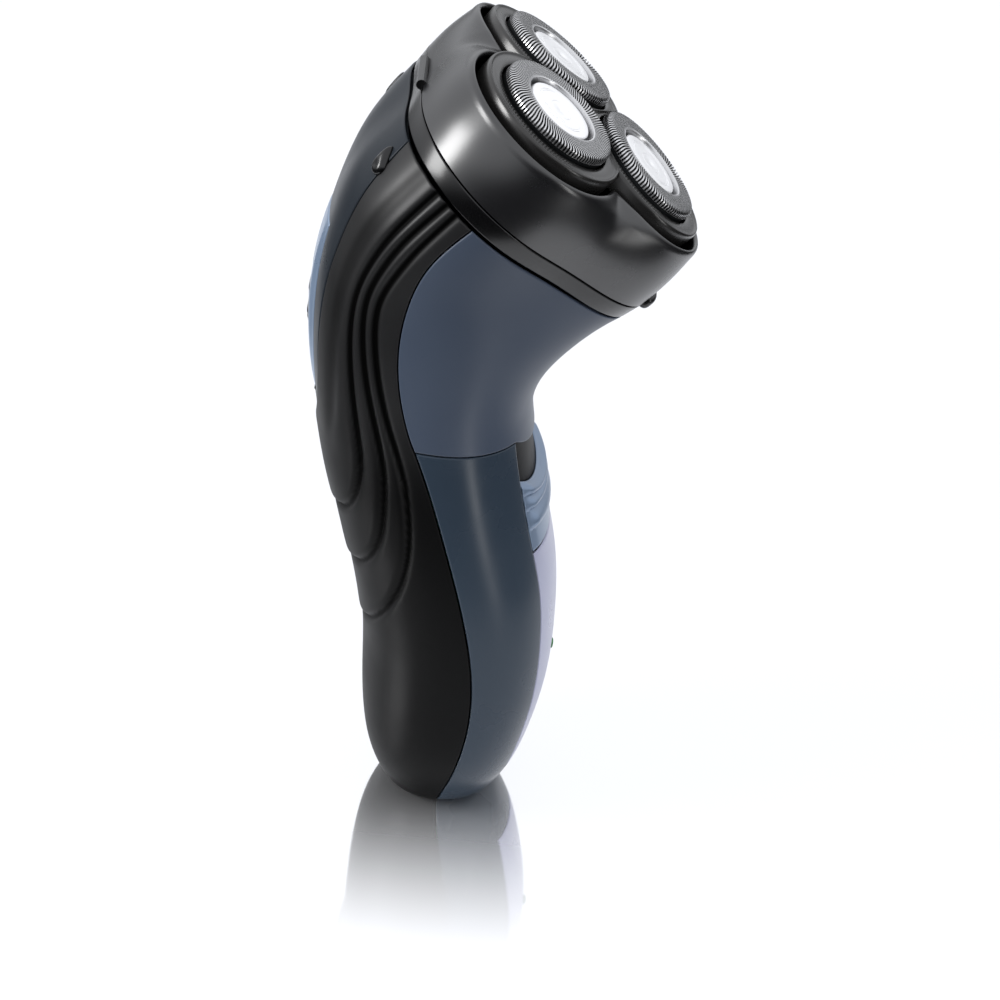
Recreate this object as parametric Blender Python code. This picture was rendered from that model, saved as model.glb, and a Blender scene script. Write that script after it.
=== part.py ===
"""A rotary electric shaver with three floating heads, built as an assembly.

Lengths are in millimetres and become metres when a mesh is made. X is across the
shaver, the front looks along -Y, and Z is up from the flat end of the handle.
"""
import math

import bmesh
import bpy
import numpy as np
from mathutils import Matrix, Vector

MM = 0.001
GAP = 0.3                     # between pieces that touch
FOOT_Y = 2.51                 # puts the origin under the middle of the whole object

# Handle: back edge (y, z), front edge (y, z), half width, share of the three-lobed neck shape
STATIONS = np.array([
    (7.6, 0.0, -7.1, 0.0, 9.6, 0.0),
    (10.3, 1.3, -9.3, 1.6, 12.7, 0.0),
    (12.8, 4.4, -11.6, 4.9, 15.8, 0.0),
    (14.8, 9.2, -13.7, 9.4, 18.5, 0.0),
    (16.1, 15.5, -15.5, 15.5, 20.8, 0.0),
    (16.9, 26.0, -17.5, 26.0, 22.6, 0.0),
    (17.7, 38.0, -17.9, 38.0, 23.8, 0.0),
    (20.6, 51.0, -16.8, 50.0, 24.5, 0.0),
    (24.3, 64.0, -13.6, 63.0, 24.8, 0.0),
    (27.2, 75.0, -11.4, 73.0, 24.9, 0.0),
    (29.0, 86.0, -10.2, 80.0, 25.0, 0.0),
    (29.7, 96.0, -10.4, 84.5, 25.2, 0.03),
    (29.2, 107.0, -12.2, 89.0, 25.8, 0.15),
    (27.0, 117.5, -15.8, 93.3, 26.8, 0.4),
    (23.0, 127.0, -20.5, 97.4, 27.8, 0.75),
    (15.2, 136.7, -24.7, 100.2, 28.6, 1.0),
])
SECTION_POWER = 2.25          # fullness of the handle's oval sections
FRONT_SHARE = 0.52            # where a section is widest, from its front edge
WALL = 2.0                    # moulded wall of the handle shells

# Heights along the handle, as distance along its middle line from the flat end
PANEL_FOOT = 11.0
PANEL_TOP = 61.0
SLIDE_TOP = 76.0
LIGHT_HEIGHT = 32.8
LUG_ANGLE = 142.5
LUG_DROP = 5.0                # from the top of the neck
PARTING = 85.4                # line between the two front shells
COVER_TIP = 79.5
COVER_ROWS = np.array([0.3, 1.5, 3.0, 4.2])      # close rows round the cover's tip, above it
TRIMMER_FOOT = 84.0
TRIMMER_TOP = 110.0

# Seams round the handle, as (height, degrees from the front)
GRIP_EDGE = ((0, 92), (6, 88), (15, 82), (50, 82.5), (80, 87), (100, 98), (115, 103.5), (131, 103))
COVER_EDGE = ((79.5, 176), (82, 161), (88, 154), (98, 151), (108, 147), (118, 141.5), (131, 141))
WINDOW = 32.0                 # half angle of the front panel and the slide switch
TRIMMER_HALF = 163.0          # the trimmer lies behind this angle on each side

# Shaving head
HEAD_TILT = math.radians(39.0)
HEAD_CENTRE = (0.0, -15.5, 136.5)
HEAD_SPACING = 14.02          # from the head's axis to each cap's axis
CAP_TILT = math.radians(4.9)  # each cap leans outwards
CAP_RADIUS = 11.0
RIM_RADIUS = 15.2             # of each lobe of the opening round a cap
PLATE_GAP = 1.3               # between the opening and the plates in it
HEAD_ANGLES = (-90.0, 30.0, 150.0)
COLLAR_HEIGHT = 3.6
NECK_MEAN, NECK_LOBE = 27.0, 3.6
HEAD_MEAN, HEAD_LOBE = 27.6, 3.5

# Drive
GEAR_TEETH, PINION_TEETH = 34, 12
GEAR_MODULE = 2 * HEAD_SPACING / (GEAR_TEETH + PINION_TEETH)
GEAR_LEVEL = (-29.4, -27.2)   # along the head's axis
MOTOR_LEVEL = (-50.0, -32.4)

COLOURS = {
    "rubber": ((0.012, 0.012, 0.013), 0.55, 0.0),
    "blue": ((0.055, 0.075, 0.105), 0.35, 0.0),
    "slate": ((0.035, 0.05, 0.07), 0.35, 0.0),
    "lavender": ((0.42, 0.43, 0.56), 0.3, 0.0),
    "silver_blue": ((0.3, 0.36, 0.46), 0.3, 0.3),
    "gloss_black": ((0.006, 0.006, 0.007), 0.12, 0.0),
    "gunmetal": ((0.06, 0.06, 0.075), 0.25, 0.4),
    "satin_grey": ((0.03, 0.03, 0.03), 0.35, 0.2),
    "steel": ((0.55, 0.55, 0.56), 0.25, 1.0),
    "brass": ((0.6, 0.42, 0.16), 0.3, 1.0),
    "white_plastic": ((0.7, 0.7, 0.68), 0.4, 0.0),
    "board_green": ((0.02, 0.12, 0.05), 0.5, 0.0),
    "cell_green": ((0.05, 0.25, 0.12), 0.4, 0.0),
    "lens": ((0.1, 0.5, 0.15), 0.2, 0.0),
}


def clear_scene():
    for item in list(bpy.data.objects):
        bpy.data.objects.remove(item, do_unlink=True)


def material(name):
    """Return the named Principled material, made on its first use."""
    made = bpy.data.materials.get(name)
    if made:
        return made
    colour, roughness, metallic = COLOURS[name]
    made = bpy.data.materials.new(name)
    made.use_nodes = True
    shader = made.node_tree.nodes["Principled BSDF"]
    shader.inputs["Base Color"].default_value = (*colour, 1.0)
    shader.inputs["Roughness"].default_value = roughness
    shader.inputs["Metallic"].default_value = metallic
    return made


def make(name, points, faces, colour, frame=None):
    """Make an object from millimetre points; its origin is the frame's origin."""
    mesh = bpy.data.meshes.new(name)
    mesh.from_pydata([tuple(p) for p in np.asarray(points, float) * MM], [], faces)
    mesh.update()
    item = bpy.data.objects.new(name, mesh)
    bpy.context.scene.collection.objects.link(item)
    mesh.materials.append(material(colour))
    mesh.shade_smooth()
    mesh.set_sharp_from_angle(angle=math.radians(35))
    if frame is not None:
        placed = frame.copy()
        placed.translation = frame.translation * MM
        item.matrix_world = placed
    return item


def boolean(item, tool, operation="DIFFERENCE"):
    """Cut the tool out of the item, or join it on; the tool stays as a guide."""
    modifier = item.modifiers.new("boolean_" + tool.name, "BOOLEAN")
    modifier.operation = operation
    modifier.solver = "EXACT"
    modifier.object = tool
    tool.hide_render = True
    tool.display_type = "WIRE"


# ---- curves and surfaces -------------------------------------------------

def cubic(knots, values, where):
    """Natural cubic spline through the values at the knots."""
    knots = np.asarray(knots, float)
    where = np.asarray(where, float)
    table = np.asarray(values, float).reshape(len(knots), -1)
    step = np.diff(knots)
    count = len(knots)
    system = np.eye(count)
    bend = np.zeros_like(table)
    for i in range(1, count - 1):
        system[i, i - 1:i + 2] = step[i - 1], 2 * (step[i - 1] + step[i]), step[i]
        rise = (table[i + 1] - table[i]) / step[i] - (table[i] - table[i - 1]) / step[i - 1]
        bend[i] = 6 * rise
    second = np.linalg.solve(system, bend)
    flat = where.ravel()
    i = np.clip(np.searchsorted(knots, flat) - 1, 0, count - 2)
    width = (knots[i + 1] - knots[i])[:, None]
    low = (knots[i + 1] - flat)[:, None] / width
    high = 1 - low
    curve = low * table[i] + high * table[i + 1]
    curve += ((low**3 - low) * second[i] + (high**3 - high) * second[i + 1]) * width**2 / 6
    return curve.reshape(where.shape + np.shape(values)[1:])


def station_heights():
    """Distance along the handle of each station, between its two edges."""
    back = np.sum(np.diff(STATIONS[:, 0:2], axis=0)**2, axis=1)
    front = np.sum(np.diff(STATIONS[:, 2:4], axis=0)**2, axis=1)
    return np.concatenate([[0.0], np.cumsum(np.sqrt((back + front) / 2))])


HEIGHTS = station_heights()
NECK_TOP = HEIGHTS[-1]


def handle_point(angle, height):
    """Outer surface of the handle: degrees round from the front, and height along it.

    A section is an oval of power SECTION_POWER that turns into a circle with a
    three-lobed ripple at the neck, in the plane of the section's two edges.
    """
    turn, height = np.broadcast_arrays(np.radians(angle), np.asarray(height, float))
    row = cubic(HEIGHTS, STATIONS, height)
    back, front, half = row[..., 0:2], row[..., 2:4], row[..., 4]
    lobed = np.clip(row[..., 5], 0, 1)
    depth = np.sqrt(((back - front)**2).sum(-1))
    along = (back - front) / depth[..., None]
    power = 2 / SECTION_POWER
    across = np.sign(np.sin(turn)) * np.abs(np.sin(turn))**power * half
    ahead = np.sign(np.cos(turn)) * np.abs(np.cos(turn))**power
    share = np.where(ahead > 0, FRONT_SHARE, 1 - FRONT_SHARE)
    inward = FRONT_SHARE * depth - share * depth * ahead
    lobe = depth * NECK_LOBE / (2 * NECK_MEAN)
    radius = depth / 2 + lobe * np.cos(3 * turn)
    across = across * (1 - lobed) + radius * np.sin(turn) * lobed
    inward = inward * (1 - lobed) + (depth / 2 + lobe - radius * np.cos(turn)) * lobed
    place = front + along * inward[..., None]
    return np.stack([across, place[..., 0] + FOOT_Y, place[..., 1]], axis=-1)


def handle_normal(angle, height):
    """Outward direction of the handle's surface."""
    angle, height = np.asarray(angle, float), np.asarray(height, float)
    round_it = handle_point(angle + 0.5, height) - handle_point(angle - 0.5, height)
    up_it = handle_point(angle, height + 0.2) - handle_point(angle, height - 0.2)
    out = np.cross(round_it, up_it)
    return out / np.linalg.norm(out, axis=-1, keepdims=True)


def seam(points):
    """Angle of a seam as a function of height."""
    table = np.array(points, float)
    return lambda height: cubic(table[:, 0], table[:, 1], np.clip(height, table[0, 0], table[-1, 0]))


def skin(name, lines, columns, heights, colour, depth=0.0, wall=WALL, hole=None):
    """A curved panel of the handle, bounded by the lines and thickened inwards.

    Lines are angles as functions of height, and columns says how many strips lie
    between each pair. A hole leaves out the strips for which it says True.
    """
    heights = np.asarray(heights, float)
    edges = [np.broadcast_to(line(heights), heights.shape) for line in lines]
    angles, groups = [], []
    for group, count in enumerate(columns):
        for step in range(count):
            angles.append(edges[group] + (edges[group + 1] - edges[group]) * step / count)
            groups.append(group)
    angles.append(edges[-1])
    angles = np.stack(angles, axis=1)
    tall = np.broadcast_to(heights[:, None], angles.shape)
    inward = handle_normal(angles, tall)
    outer = (handle_point(angles, tall) - depth * inward).reshape(-1, 3)
    inner = (handle_point(angles, tall) - (depth + wall) * inward).reshape(-1, 3)
    wide = angles.shape[1]
    faces = []
    for row in range(len(heights) - 1):
        middle = (heights[row] + heights[row + 1]) / 2
        for column in range(wide - 1):
            if hole and hole(middle, groups[column]):
                continue
            corner = row * wide + column
            faces.append((corner, corner + 1, corner + wide + 1, corner + wide))
    return closed_wall(name, outer, inner, faces, colour)


def closed_wall(name, outer, inner, faces, colour, frame=None):
    """Close the faces of an outer sheet with the same faces on an inner sheet, and a rim."""
    used = sorted({corner for face in faces for corner in face})
    place = {corner: i for i, corner in enumerate(used)}
    sheet = [tuple(place[corner] for corner in face) for face in faces]
    count = len(used)
    edges = {(face[i], face[(i + 1) % 4]) for face in sheet for i in range(4)}
    rim = [(a, b) for a, b in edges if (b, a) not in edges]
    walls = sheet + [tuple(corner + count for corner in reversed(face)) for face in sheet]
    walls += [(b, a, a + count, b + count) for a, b in sorted(rim)]
    return make(name, np.concatenate([outer[used], inner[used]]), walls, colour, frame)


def spaced(low, high, step):
    """Evenly spaced heights, about a step apart."""
    return np.linspace(low, high, max(2, round((high - low) / step) + 1))


# ---- frames --------------------------------------------------------------

def frame_of(origin, across, back, up):
    columns = Matrix((across, back, up)).transposed().to_4x4()
    columns.translation = Vector(origin)
    return columns


def head_frame():
    """Head: X across, Y to the back, Z along the head's axis, out of the caps' plane."""
    cosine, sine = math.cos(HEAD_TILT), math.sin(HEAD_TILT)
    origin = (HEAD_CENTRE[0], HEAD_CENTRE[1] + FOOT_Y, HEAD_CENTRE[2])
    return frame_of(origin, (1, 0, 0), (0, cosine, sine), (0, -sine, cosine))


def collar_frame():
    """Top of the neck, centred on its three-lobed outline."""
    back, front = STATIONS[-1, 0:2], STATIONS[-1, 2:4]
    along = (back - front) / np.linalg.norm(back - front)
    centre = front + along * (NECK_MEAN + NECK_LOBE)
    origin = (0.0, centre[0] + FOOT_Y, centre[1])
    return frame_of(origin, (1, 0, 0), (0, along[0], along[1]), (0, -along[1], along[0]))


HEAD = head_frame()
COLLAR = collar_frame()
UPRIGHT = Matrix.Identity(4)


def cap_frame(angle):
    """One cap: centred on its shaving face, with Z along its own axis."""
    turn = Matrix.Rotation(math.radians(angle), 4, "Z")
    lean = Matrix.Rotation(CAP_TILT, 4, "Y")
    return HEAD @ turn @ Matrix.Translation((HEAD_SPACING, 0, 0)) @ lean


def spindle_frame(angle):
    """Drive axis under one cap, parallel to the head's axis."""
    turn = Matrix.Rotation(math.radians(angle), 4, "Z")
    return HEAD @ turn @ Matrix.Translation((HEAD_SPACING, 0, 0))


def moved(frame, x=0.0, y=0.0, z=0.0):
    return frame @ Matrix.Translation((x, y, z))


def surface_frame(angle, height, depth=0.0):
    """A frame on the handle: Y inwards, Z up along the surface."""
    origin = handle_point(angle, height)
    out = handle_normal(angle, height)
    up = handle_point(angle, height + 1) - handle_point(angle, height - 1)
    up = up - out * np.dot(up, out)
    up /= np.linalg.norm(up)
    across = np.cross(-out, up)
    return frame_of(origin - out * depth, across, -out, up)


# ---- solids --------------------------------------------------------------

def turned(name, profile, colour, frame, segments=32):
    """Turn a profile of (radius, z) about Z. It closes on itself, or on the axis."""
    profile = list(profile)
    solid = profile[0][0] == 0
    rings = profile[1:-1] if solid else profile
    angles = np.linspace(0, 2 * math.pi, segments, endpoint=False)
    points = [(r * math.cos(a), r * math.sin(a), z) for r, z in rings for a in angles]
    faces = []
    count = len(rings)
    for ring in range(count - 1 if solid else count):
        low, high = ring * segments, (ring + 1) % count * segments
        for i in range(segments):
            j = (i + 1) % segments
            faces.append((low + i, low + j, high + j, high + i))
    if solid:
        faces.append(tuple(reversed(range(segments))))
        faces.append(tuple(range((count - 1) * segments, count * segments)))
    return outward(make(name, points, faces, colour, frame))


def outward(item):
    """Turn every face of a closed mesh outwards."""
    shape = bmesh.new()
    shape.from_mesh(item.data)
    bmesh.ops.recalc_face_normals(shape, faces=shape.faces)
    shape.to_mesh(item.data)
    shape.free()
    return item


def prism(name, outline, low, high, colour, frame):
    """Raise a flat outline from one level to another."""
    count = len(outline)
    points = [(x, y, z) for z in (low, high) for x, y in outline]
    faces = [tuple(reversed(range(count))), tuple(range(count, 2 * count))]
    for i in range(count):
        j = (i + 1) % count
        faces.append((i, j, count + j, count + i))
    return outward(make(name, points, faces, colour, frame))


def block(name, size, colour, frame, bevel=0.0):
    """A box centred on its frame, with its edges rounded."""
    shape = bmesh.new()
    bmesh.ops.create_cube(shape, size=1.0)
    bmesh.ops.scale(shape, vec=[length * MM for length in size], verts=shape.verts)
    if bevel:
        bmesh.ops.bevel(shape, geom=shape.edges, offset=bevel * MM, segments=2, affect="EDGES",
                        profile=0.5)
    mesh = bpy.data.meshes.new(name)
    shape.to_mesh(mesh)
    shape.free()
    item = bpy.data.objects.new(name, mesh)
    bpy.context.scene.collection.objects.link(item)
    mesh.materials.append(material(colour))
    mesh.shade_smooth()
    mesh.set_sharp_from_angle(angle=math.radians(35))
    placed = frame.copy()
    placed.translation = frame.translation * MM
    item.matrix_world = placed
    return item


def rings_solid(name, rings, colour, frame=None, capped=False):
    """Join rings of points into one closed wall, or a solid with two flat ends."""
    rings = [np.asarray(ring, float) for ring in rings]
    count = len(rings[0])
    faces = []
    spans = len(rings) - 1 if capped else len(rings)
    for ring in range(spans):
        low, high = ring * count, (ring + 1) % len(rings) * count
        for i in range(count):
            j = (i + 1) % count
            faces.append((low + i, low + j, high + j, high + i))
    if capped:
        last = (len(rings) - 1) * count
        faces.append(tuple(reversed(range(count))))
        faces.append(tuple(range(last, last + count)))
    return outward(make(name, np.concatenate(rings), faces, colour, frame))


def oval(half_x, half_y, count=32, power=2.0, middle=(0.0, 0.0)):
    """An outline between an ellipse and a rectangle."""
    turn = np.linspace(0, 2 * math.pi, count, endpoint=False)
    cosine, sine = np.cos(turn), np.sin(turn)
    x = half_x * np.sign(cosine) * np.abs(cosine)**(2 / power) + middle[0]
    y = half_y * np.sign(sine) * np.abs(sine)**(2 / power) + middle[1]
    return np.stack([x, y], axis=-1)


def coil(name, radius, wire, turns, low, high, colour, frame, sides=4, per_turn=8):
    """A compression spring: a round wire carried along a helix, with flat ends."""
    steps = int(turns * per_turn)
    rings = []
    for step in range(steps + 1):
        turn = 2 * math.pi * step / per_turn
        level = low + wire + (high - low - 2 * wire) * step / steps
        spread = [2 * math.pi * side / sides for side in range(sides)]
        rings.append([((radius + wire * math.cos(s)) * math.cos(turn),
                       (radius + wire * math.cos(s)) * math.sin(turn),
                       level + wire * math.sin(s)) for s in spread])
    return rings_solid(name, rings, colour, frame, capped=True)


def gear_outline(teeth, phase):
    """A spur gear's outline with straight-sided teeth and running clearance."""
    pitch = GEAR_MODULE * teeth / 2
    root, tip = pitch - 1.15 * GEAR_MODULE, pitch + 0.85 * GEAR_MODULE
    half_root, half_tip = 0.27, 0.13            # share of one tooth's pitch
    points = []
    for tooth in range(teeth):
        centre = phase + 2 * math.pi * tooth / teeth
        pitch_angle = 2 * math.pi / teeth
        for radius, side in ((root, -half_root), (tip, -half_tip), (tip, half_tip), (root, half_root)):
            angle = centre + side * pitch_angle
            points.append((radius * math.cos(angle), radius * math.sin(angle)))
    return points


# ---- the handle ----------------------------------------------------------

FOOT_EDGE = 0.0
TOP_EDGE = NECK_TOP - 0.5


def steady(angle):
    return lambda height: np.full(np.shape(height), float(angle))


def shifted(line, degrees):
    return lambda height: line(height) + degrees


def mirrored(line):
    return lambda height: 360 - line(height)


def negative(line):
    return lambda height: -line(height)


SEAM_DEGREES = 0.38           # half a gap, as an angle


def grip_shell():
    """Black rubber-skinned rear shell, notched at the top for the back cover."""
    edge = shifted(seam(GRIP_EDGE), SEAM_DEGREES)
    notch = shifted(seam(COVER_EDGE), -SEAM_DEGREES)
    low = spaced(FOOT_EDGE, COVER_TIP - 1.5, 5.2)
    tip = np.concatenate([[COVER_TIP - 0.6], COVER_TIP + COVER_ROWS])
    high = np.concatenate([tip, spaced(tip[-1], TOP_EDGE, 4.4)[1:]])

    def notch_line(height):
        return np.where(height < COVER_TIP, 168.0, notch(height))

    lines = [edge, notch_line, steady(180), mirrored(notch_line), mirrored(edge)]

    def hole(height, group):
        return height > COVER_TIP - 0.8 and group in (1, 2)

    return skin("grip_shell", lines, (6, 2, 2, 6), np.concatenate([low, high]), "rubber", hole=hole)


def back_cover():
    """Glossy cover on the upper back, with the window of the trimmer in it."""
    edge = shifted(seam(COVER_EDGE), SEAM_DEGREES)
    low = COVER_TIP + COVER_ROWS
    middle = spaced(low[-1], TRIMMER_TOP + GAP, 4.4)[1:]
    high = spaced(TRIMMER_TOP + GAP, TOP_EDGE, 4.4)[1:]

    def rim(height):
        return np.maximum(TRIMMER_HALF, edge(height) + 1.0)

    lines = [edge, rim, steady(180), mirrored(rim), mirrored(edge)]

    def hole(height, group):
        return TRIMMER_FOOT - GAP < height < TRIMMER_TOP + GAP and group in (1, 2)

    heights = np.concatenate([low, middle, high])
    return skin("back_cover", lines, (2, 2, 2, 2), heights, "slate", hole=hole)


def front_shell_upper():
    edge = shifted(seam(GRIP_EDGE), -SEAM_DEGREES)
    heights = spaced(PARTING + GAP / 2, TOP_EDGE, 4.4)
    return skin("front_shell_upper", [negative(edge), edge], (16,), heights, "blue")


def front_shell_lower():
    """Lower front shell: two flanks joined under the front panel."""
    edge = shifted(seam(GRIP_EDGE), -SEAM_DEGREES)
    low = spaced(FOOT_EDGE, PANEL_FOOT, 3.6)
    heights = np.concatenate([low, spaced(PANEL_FOOT, PARTING - GAP / 2, 5.2)[1:]])
    lines = [negative(edge), steady(-WINDOW), steady(WINDOW), edge]

    def hole(height, group):
        return group == 1 and height > PANEL_FOOT

    return skin("front_shell_lower", lines, (4, 6, 4), heights, "slate", hole=hole)


def front_panel():
    edge = steady(WINDOW - 3 * SEAM_DEGREES)
    heights = spaced(PANEL_FOOT + GAP, PANEL_TOP - GAP, 4.2)
    item = skin("front_panel", [negative(edge), edge], (8,), heights, "lavender")
    hole = turned("cutter_lens", ((0, -3), (1.2, -3), (1.2, 3), (0, 3)), "lens", lens_frame(), 16)
    boolean(item, hole)
    return item


def lens_frame():
    return surface_frame(0.0, LIGHT_HEIGHT) @ Matrix.Rotation(math.radians(90), 4, "X")


def light_pipe():
    """Small lens of the charging light."""
    profile = ((0, -7), (0.9, -7), (0.9, 0.2), (0.6, 0.45), (0, 0.45))
    return turned("light_pipe", profile, "lens", lens_frame(), 16)


def end_cap():
    """Flat foot of the handle, with the socket for the power plug."""
    turn = np.arange(0, 360, 360 / 40)
    mouth = handle_point(turn, 0.0)[:, :2]
    middle = mouth.mean(axis=0)
    reach = np.linalg.norm(mouth - middle, axis=1, keepdims=True)
    plug = middle + (mouth - middle) * (reach - 0.4) / reach
    neck = middle + (mouth - middle) * (reach - 2.4) / reach
    rings = [np.column_stack([neck, np.full(40, 9.0)]), np.column_stack([neck, np.full(40, 1.0)]),
             np.column_stack([plug, np.full(40, 0.4)]),
             np.column_stack([middle + (plug - middle) * 0.97, np.zeros(40)])]
    item = rings_solid("end_cap", rings, "gloss_black", UPRIGHT, capped=True)
    socket = prism("cutter_socket", oval(5.8, 3.5, 32, 3.5, middle), -1.0, 7.5, "gloss_black", UPRIGHT)
    boolean(item, socket)
    return middle


def inlet_pins(middle):
    """Two contact pins that stand in the power socket."""
    for name, side in (("inlet_pin_left", -3.6), ("inlet_pin_right", 3.6)):
        frame = Matrix.Translation((side, middle[1], 0.0))
        turned(name, ((0, 1.8), (0.5, 1.8), (0.85, 2.2), (0.85, 7.2), (0, 7.2)), "steel", frame, 12)


def collar_outline(mean, lobe, level, count=48):
    """Three-lobed ring in the collar's frame; the first lobe is at the front."""
    turn = np.linspace(0, 2 * math.pi, count, endpoint=False)
    radius = mean + lobe * np.cos(3 * turn)
    return np.stack([radius * np.sin(turn), -radius * np.cos(turn), np.full(count, float(level))], axis=-1)


def collar_ring():
    """Glossy black ring round the neck, which carries the shaving unit."""
    low, high = GAP, COLLAR_HEIGHT
    rings = [collar_outline(NECK_MEAN, NECK_LOBE, low), collar_outline(HEAD_MEAN, HEAD_LOBE, high),
             collar_outline(HEAD_MEAN - 3.2, HEAD_LOBE, high),
             collar_outline(NECK_MEAN - 3.2, NECK_LOBE, low)]
    item = rings_solid("collar_ring", rings, "gloss_black", COLLAR)
    boolean(item, bpy.data.objects["cutter_button"])
    boolean(item, bpy.data.objects["cutter_hinge"])
    return item


# ---- the shaving unit ----------------------------------------------------

def lobes(radius, count):
    """Outline of three circles round the cap axes, as radii from the head's axis."""
    turn = np.linspace(0, 2 * math.pi, count, endpoint=False)
    best = np.zeros(count)
    for angle in HEAD_ANGLES:
        toward = HEAD_SPACING * np.cos(turn - math.radians(angle + 90))
        reach = radius**2 - HEAD_SPACING**2 + toward**2
        best = np.maximum(best, np.where(reach > 0, toward + np.sqrt(np.maximum(reach, 0)), 0))
    return turn, best


def rim_outline(radius, level, scallop=1.0, count=48):
    """The head's opening, in the head's frame, from the front.

    With a full scallop the outline follows the three circles round the caps; with
    less it turns into the smooth three-lobed shape of the collar.
    """
    turn, reach = lobes(radius, count)
    smooth = HEAD_SPACING + radius - HEAD_LOBE * (1 - np.cos(3 * turn))
    reach = scallop * reach + (1 - scallop) * smooth
    spread = np.stack([reach * np.sin(turn), -reach * np.cos(turn)], axis=-1)
    drop = np.zeros(count)
    for angle in HEAD_ANGLES:
        out = np.array([math.cos(math.radians(angle)), math.sin(math.radians(angle))])
        drop = np.maximum(drop, (spread @ out - HEAD_SPACING) * math.tan(CAP_TILT))
    return np.column_stack([spread, level - drop])


def in_frame(points, source, target):
    """Points of one frame in the coordinates of another."""
    matrix = np.array(target.inverted() @ source)
    return np.asarray(points) @ matrix[:3, :3].T + matrix[:3, 3]


def head_shell():
    """Tapered gunmetal housing of the shaving unit, open at the top and bottom."""
    foot = in_frame(collar_outline(HEAD_MEAN, HEAD_LOBE, COLLAR_HEIGHT + GAP), COLLAR, HEAD)
    foot_in = in_frame(collar_outline(HEAD_MEAN - 1.8, HEAD_LOBE, COLLAR_HEIGHT + GAP), COLLAR, HEAD)
    brow = rim_outline(RIM_RADIUS + 1.4, -6.0, 0.35)
    shoulder = rim_outline(RIM_RADIUS + 1.1, -4.3, 0.6)
    top = rim_outline(RIM_RADIUS + 0.6, -3.5, 0.85)
    mouth = rim_outline(RIM_RADIUS, -4.0)
    throat = rim_outline(RIM_RADIUS, -6.4)
    rings = [foot, foot * 0.5 + brow * 0.5, brow, shoulder, top, mouth, throat,
             foot_in * 0.35 + throat * 0.65, foot_in]
    item = rings_solid("head_shell", rings, "gunmetal", HEAD)
    boolean(item, bpy.data.objects["cutter_button"])
    boolean(item, bpy.data.objects["cutter_hinge"])
    return item


def plate_outline(reach, level, count=36):
    """One segment of the cap plate, seen from its cap's axis with X outwards."""
    turn = np.linspace(0, 2 * math.pi, count, endpoint=False)
    radius = np.full(count, float(reach))
    split = HEAD_SPACING * math.sin(math.radians(60)) - GAP - (RIM_RADIUS - PLATE_GAP - reach)
    for side in (-1, 1):
        lean = np.cos(turn - math.radians(180 + side * 30))
        radius = np.where(lean > 0.2, np.minimum(radius, split / np.maximum(lean, 0.2)), radius)
    return np.stack([radius * np.cos(turn), radius * np.sin(turn), np.full(count, float(level))], axis=-1)


def round_ring(radius, level, count=36):
    turn = np.linspace(0, 2 * math.pi, count, endpoint=False)
    return np.stack([radius * np.cos(turn), radius * np.sin(turn), np.full(count, float(level))], axis=-1)


def head_plate(number, angle):
    """Floating plate segment round one cap."""
    outer = RIM_RADIUS - PLATE_GAP
    hole = CAP_RADIUS + 0.3
    rings = [round_ring(hole, -3.4), round_ring(hole, -1.9), plate_outline(outer - 0.5, -1.9),
             plate_outline(outer, -2.5), plate_outline(outer, -3.4)]
    rings_solid(f"head_plate_{number}", rings, "satin_grey", cap_frame(angle))


def shaving_cap(number, angle):
    """Slotted steel cap with a recessed ring round its centre."""
    profile = ((11.0, -3.0), (11.0, -0.5), (10.5, 0.0), (7.0, 0.0), (6.75, -0.3), (6.75, -1.5), (5.0, -1.5),
               (5.0, -1.9), (8.0, -1.9), (10.3, -1.4), (10.3, -3.0))
    turned(f"shaving_cap_{number}", profile, "steel", cap_frame(angle), 24)


def cap_disc(number, angle):
    """Polished centre disc pressed into the cap."""
    profile = ((0, -2.05), (4.7, -2.05), (4.7, -1.2), (6.2, -1.2), (6.2, -0.6), (5.9, -0.4), (0, -0.35))
    turned(f"cap_disc_{number}", profile, "steel", cap_frame(angle), 20)


def cutter(number, angle):
    """Rotating cutter: a bladed wheel on a hub with a drive socket."""
    frame = cap_frame(angle)
    blades = 15
    wheel = []
    for blade in range(blades):
        for radius, share in ((7.4, 0.0), (9.6, 0.12), (9.6, 0.4), (7.4, 0.52)):
            turn = 2 * math.pi * (blade + share) / blades
            wheel.append((radius * math.cos(turn), radius * math.sin(turn)))
    item = prism(f"cutter_{number}", wheel, -3.4, -2.4, "steel", frame)
    hub = turned(f"guide_hub_{number}", ((0, -6.6), (3.2, -6.6), (3.2, -2.9), (0, -2.9)), "steel", frame, 24)
    bore = ((0, -8), (2.4, -8), (2.4, -3.0), (0, -3.0))
    socket = turned(f"guide_socket_{number}", bore, "steel", frame, 12)
    boolean(item, hub, "UNION")
    boolean(item, socket)


def retaining_frame():
    """Frame that holds the caps and cutters up in the shaving unit."""
    turn, reach = lobes(12.6, 36)
    outline = np.stack([reach * np.sin(turn), -reach * np.cos(turn)], axis=-1)
    item = prism("retaining_frame", outline, -9.9, -8.7, "white_plastic", HEAD)
    for number, angle in enumerate(HEAD_ANGLES, 1):
        hole = turned(f"guide_bearing_{number}", ((0, -11), (5.0, -11), (5.0, -7), (0, -7)),
                      "white_plastic", spindle_frame(angle), 24)
        boolean(item, hole)
    centre = turned("guide_lock_hole", ((0, -11), (2.5, -11), (2.5, -7), (0, -7)), "white_plastic", HEAD, 16)
    boolean(item, centre)


def retaining_lock():
    """Quarter-turn knob that frees the retaining frame."""
    profile = ((0, -12.1), (4.2, -12.1), (4.2, -10.2), (2.2, -10.2), (2.2, -7.2), (0, -7.2))
    item = turned("retaining_lock", profile, "gunmetal", HEAD, 20)
    grip = block("guide_lock_grip", (1.6, 7.4, 2.0), "gunmetal", moved(HEAD, 0, 0, -12.6))
    boolean(item, grip, "UNION")


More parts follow.
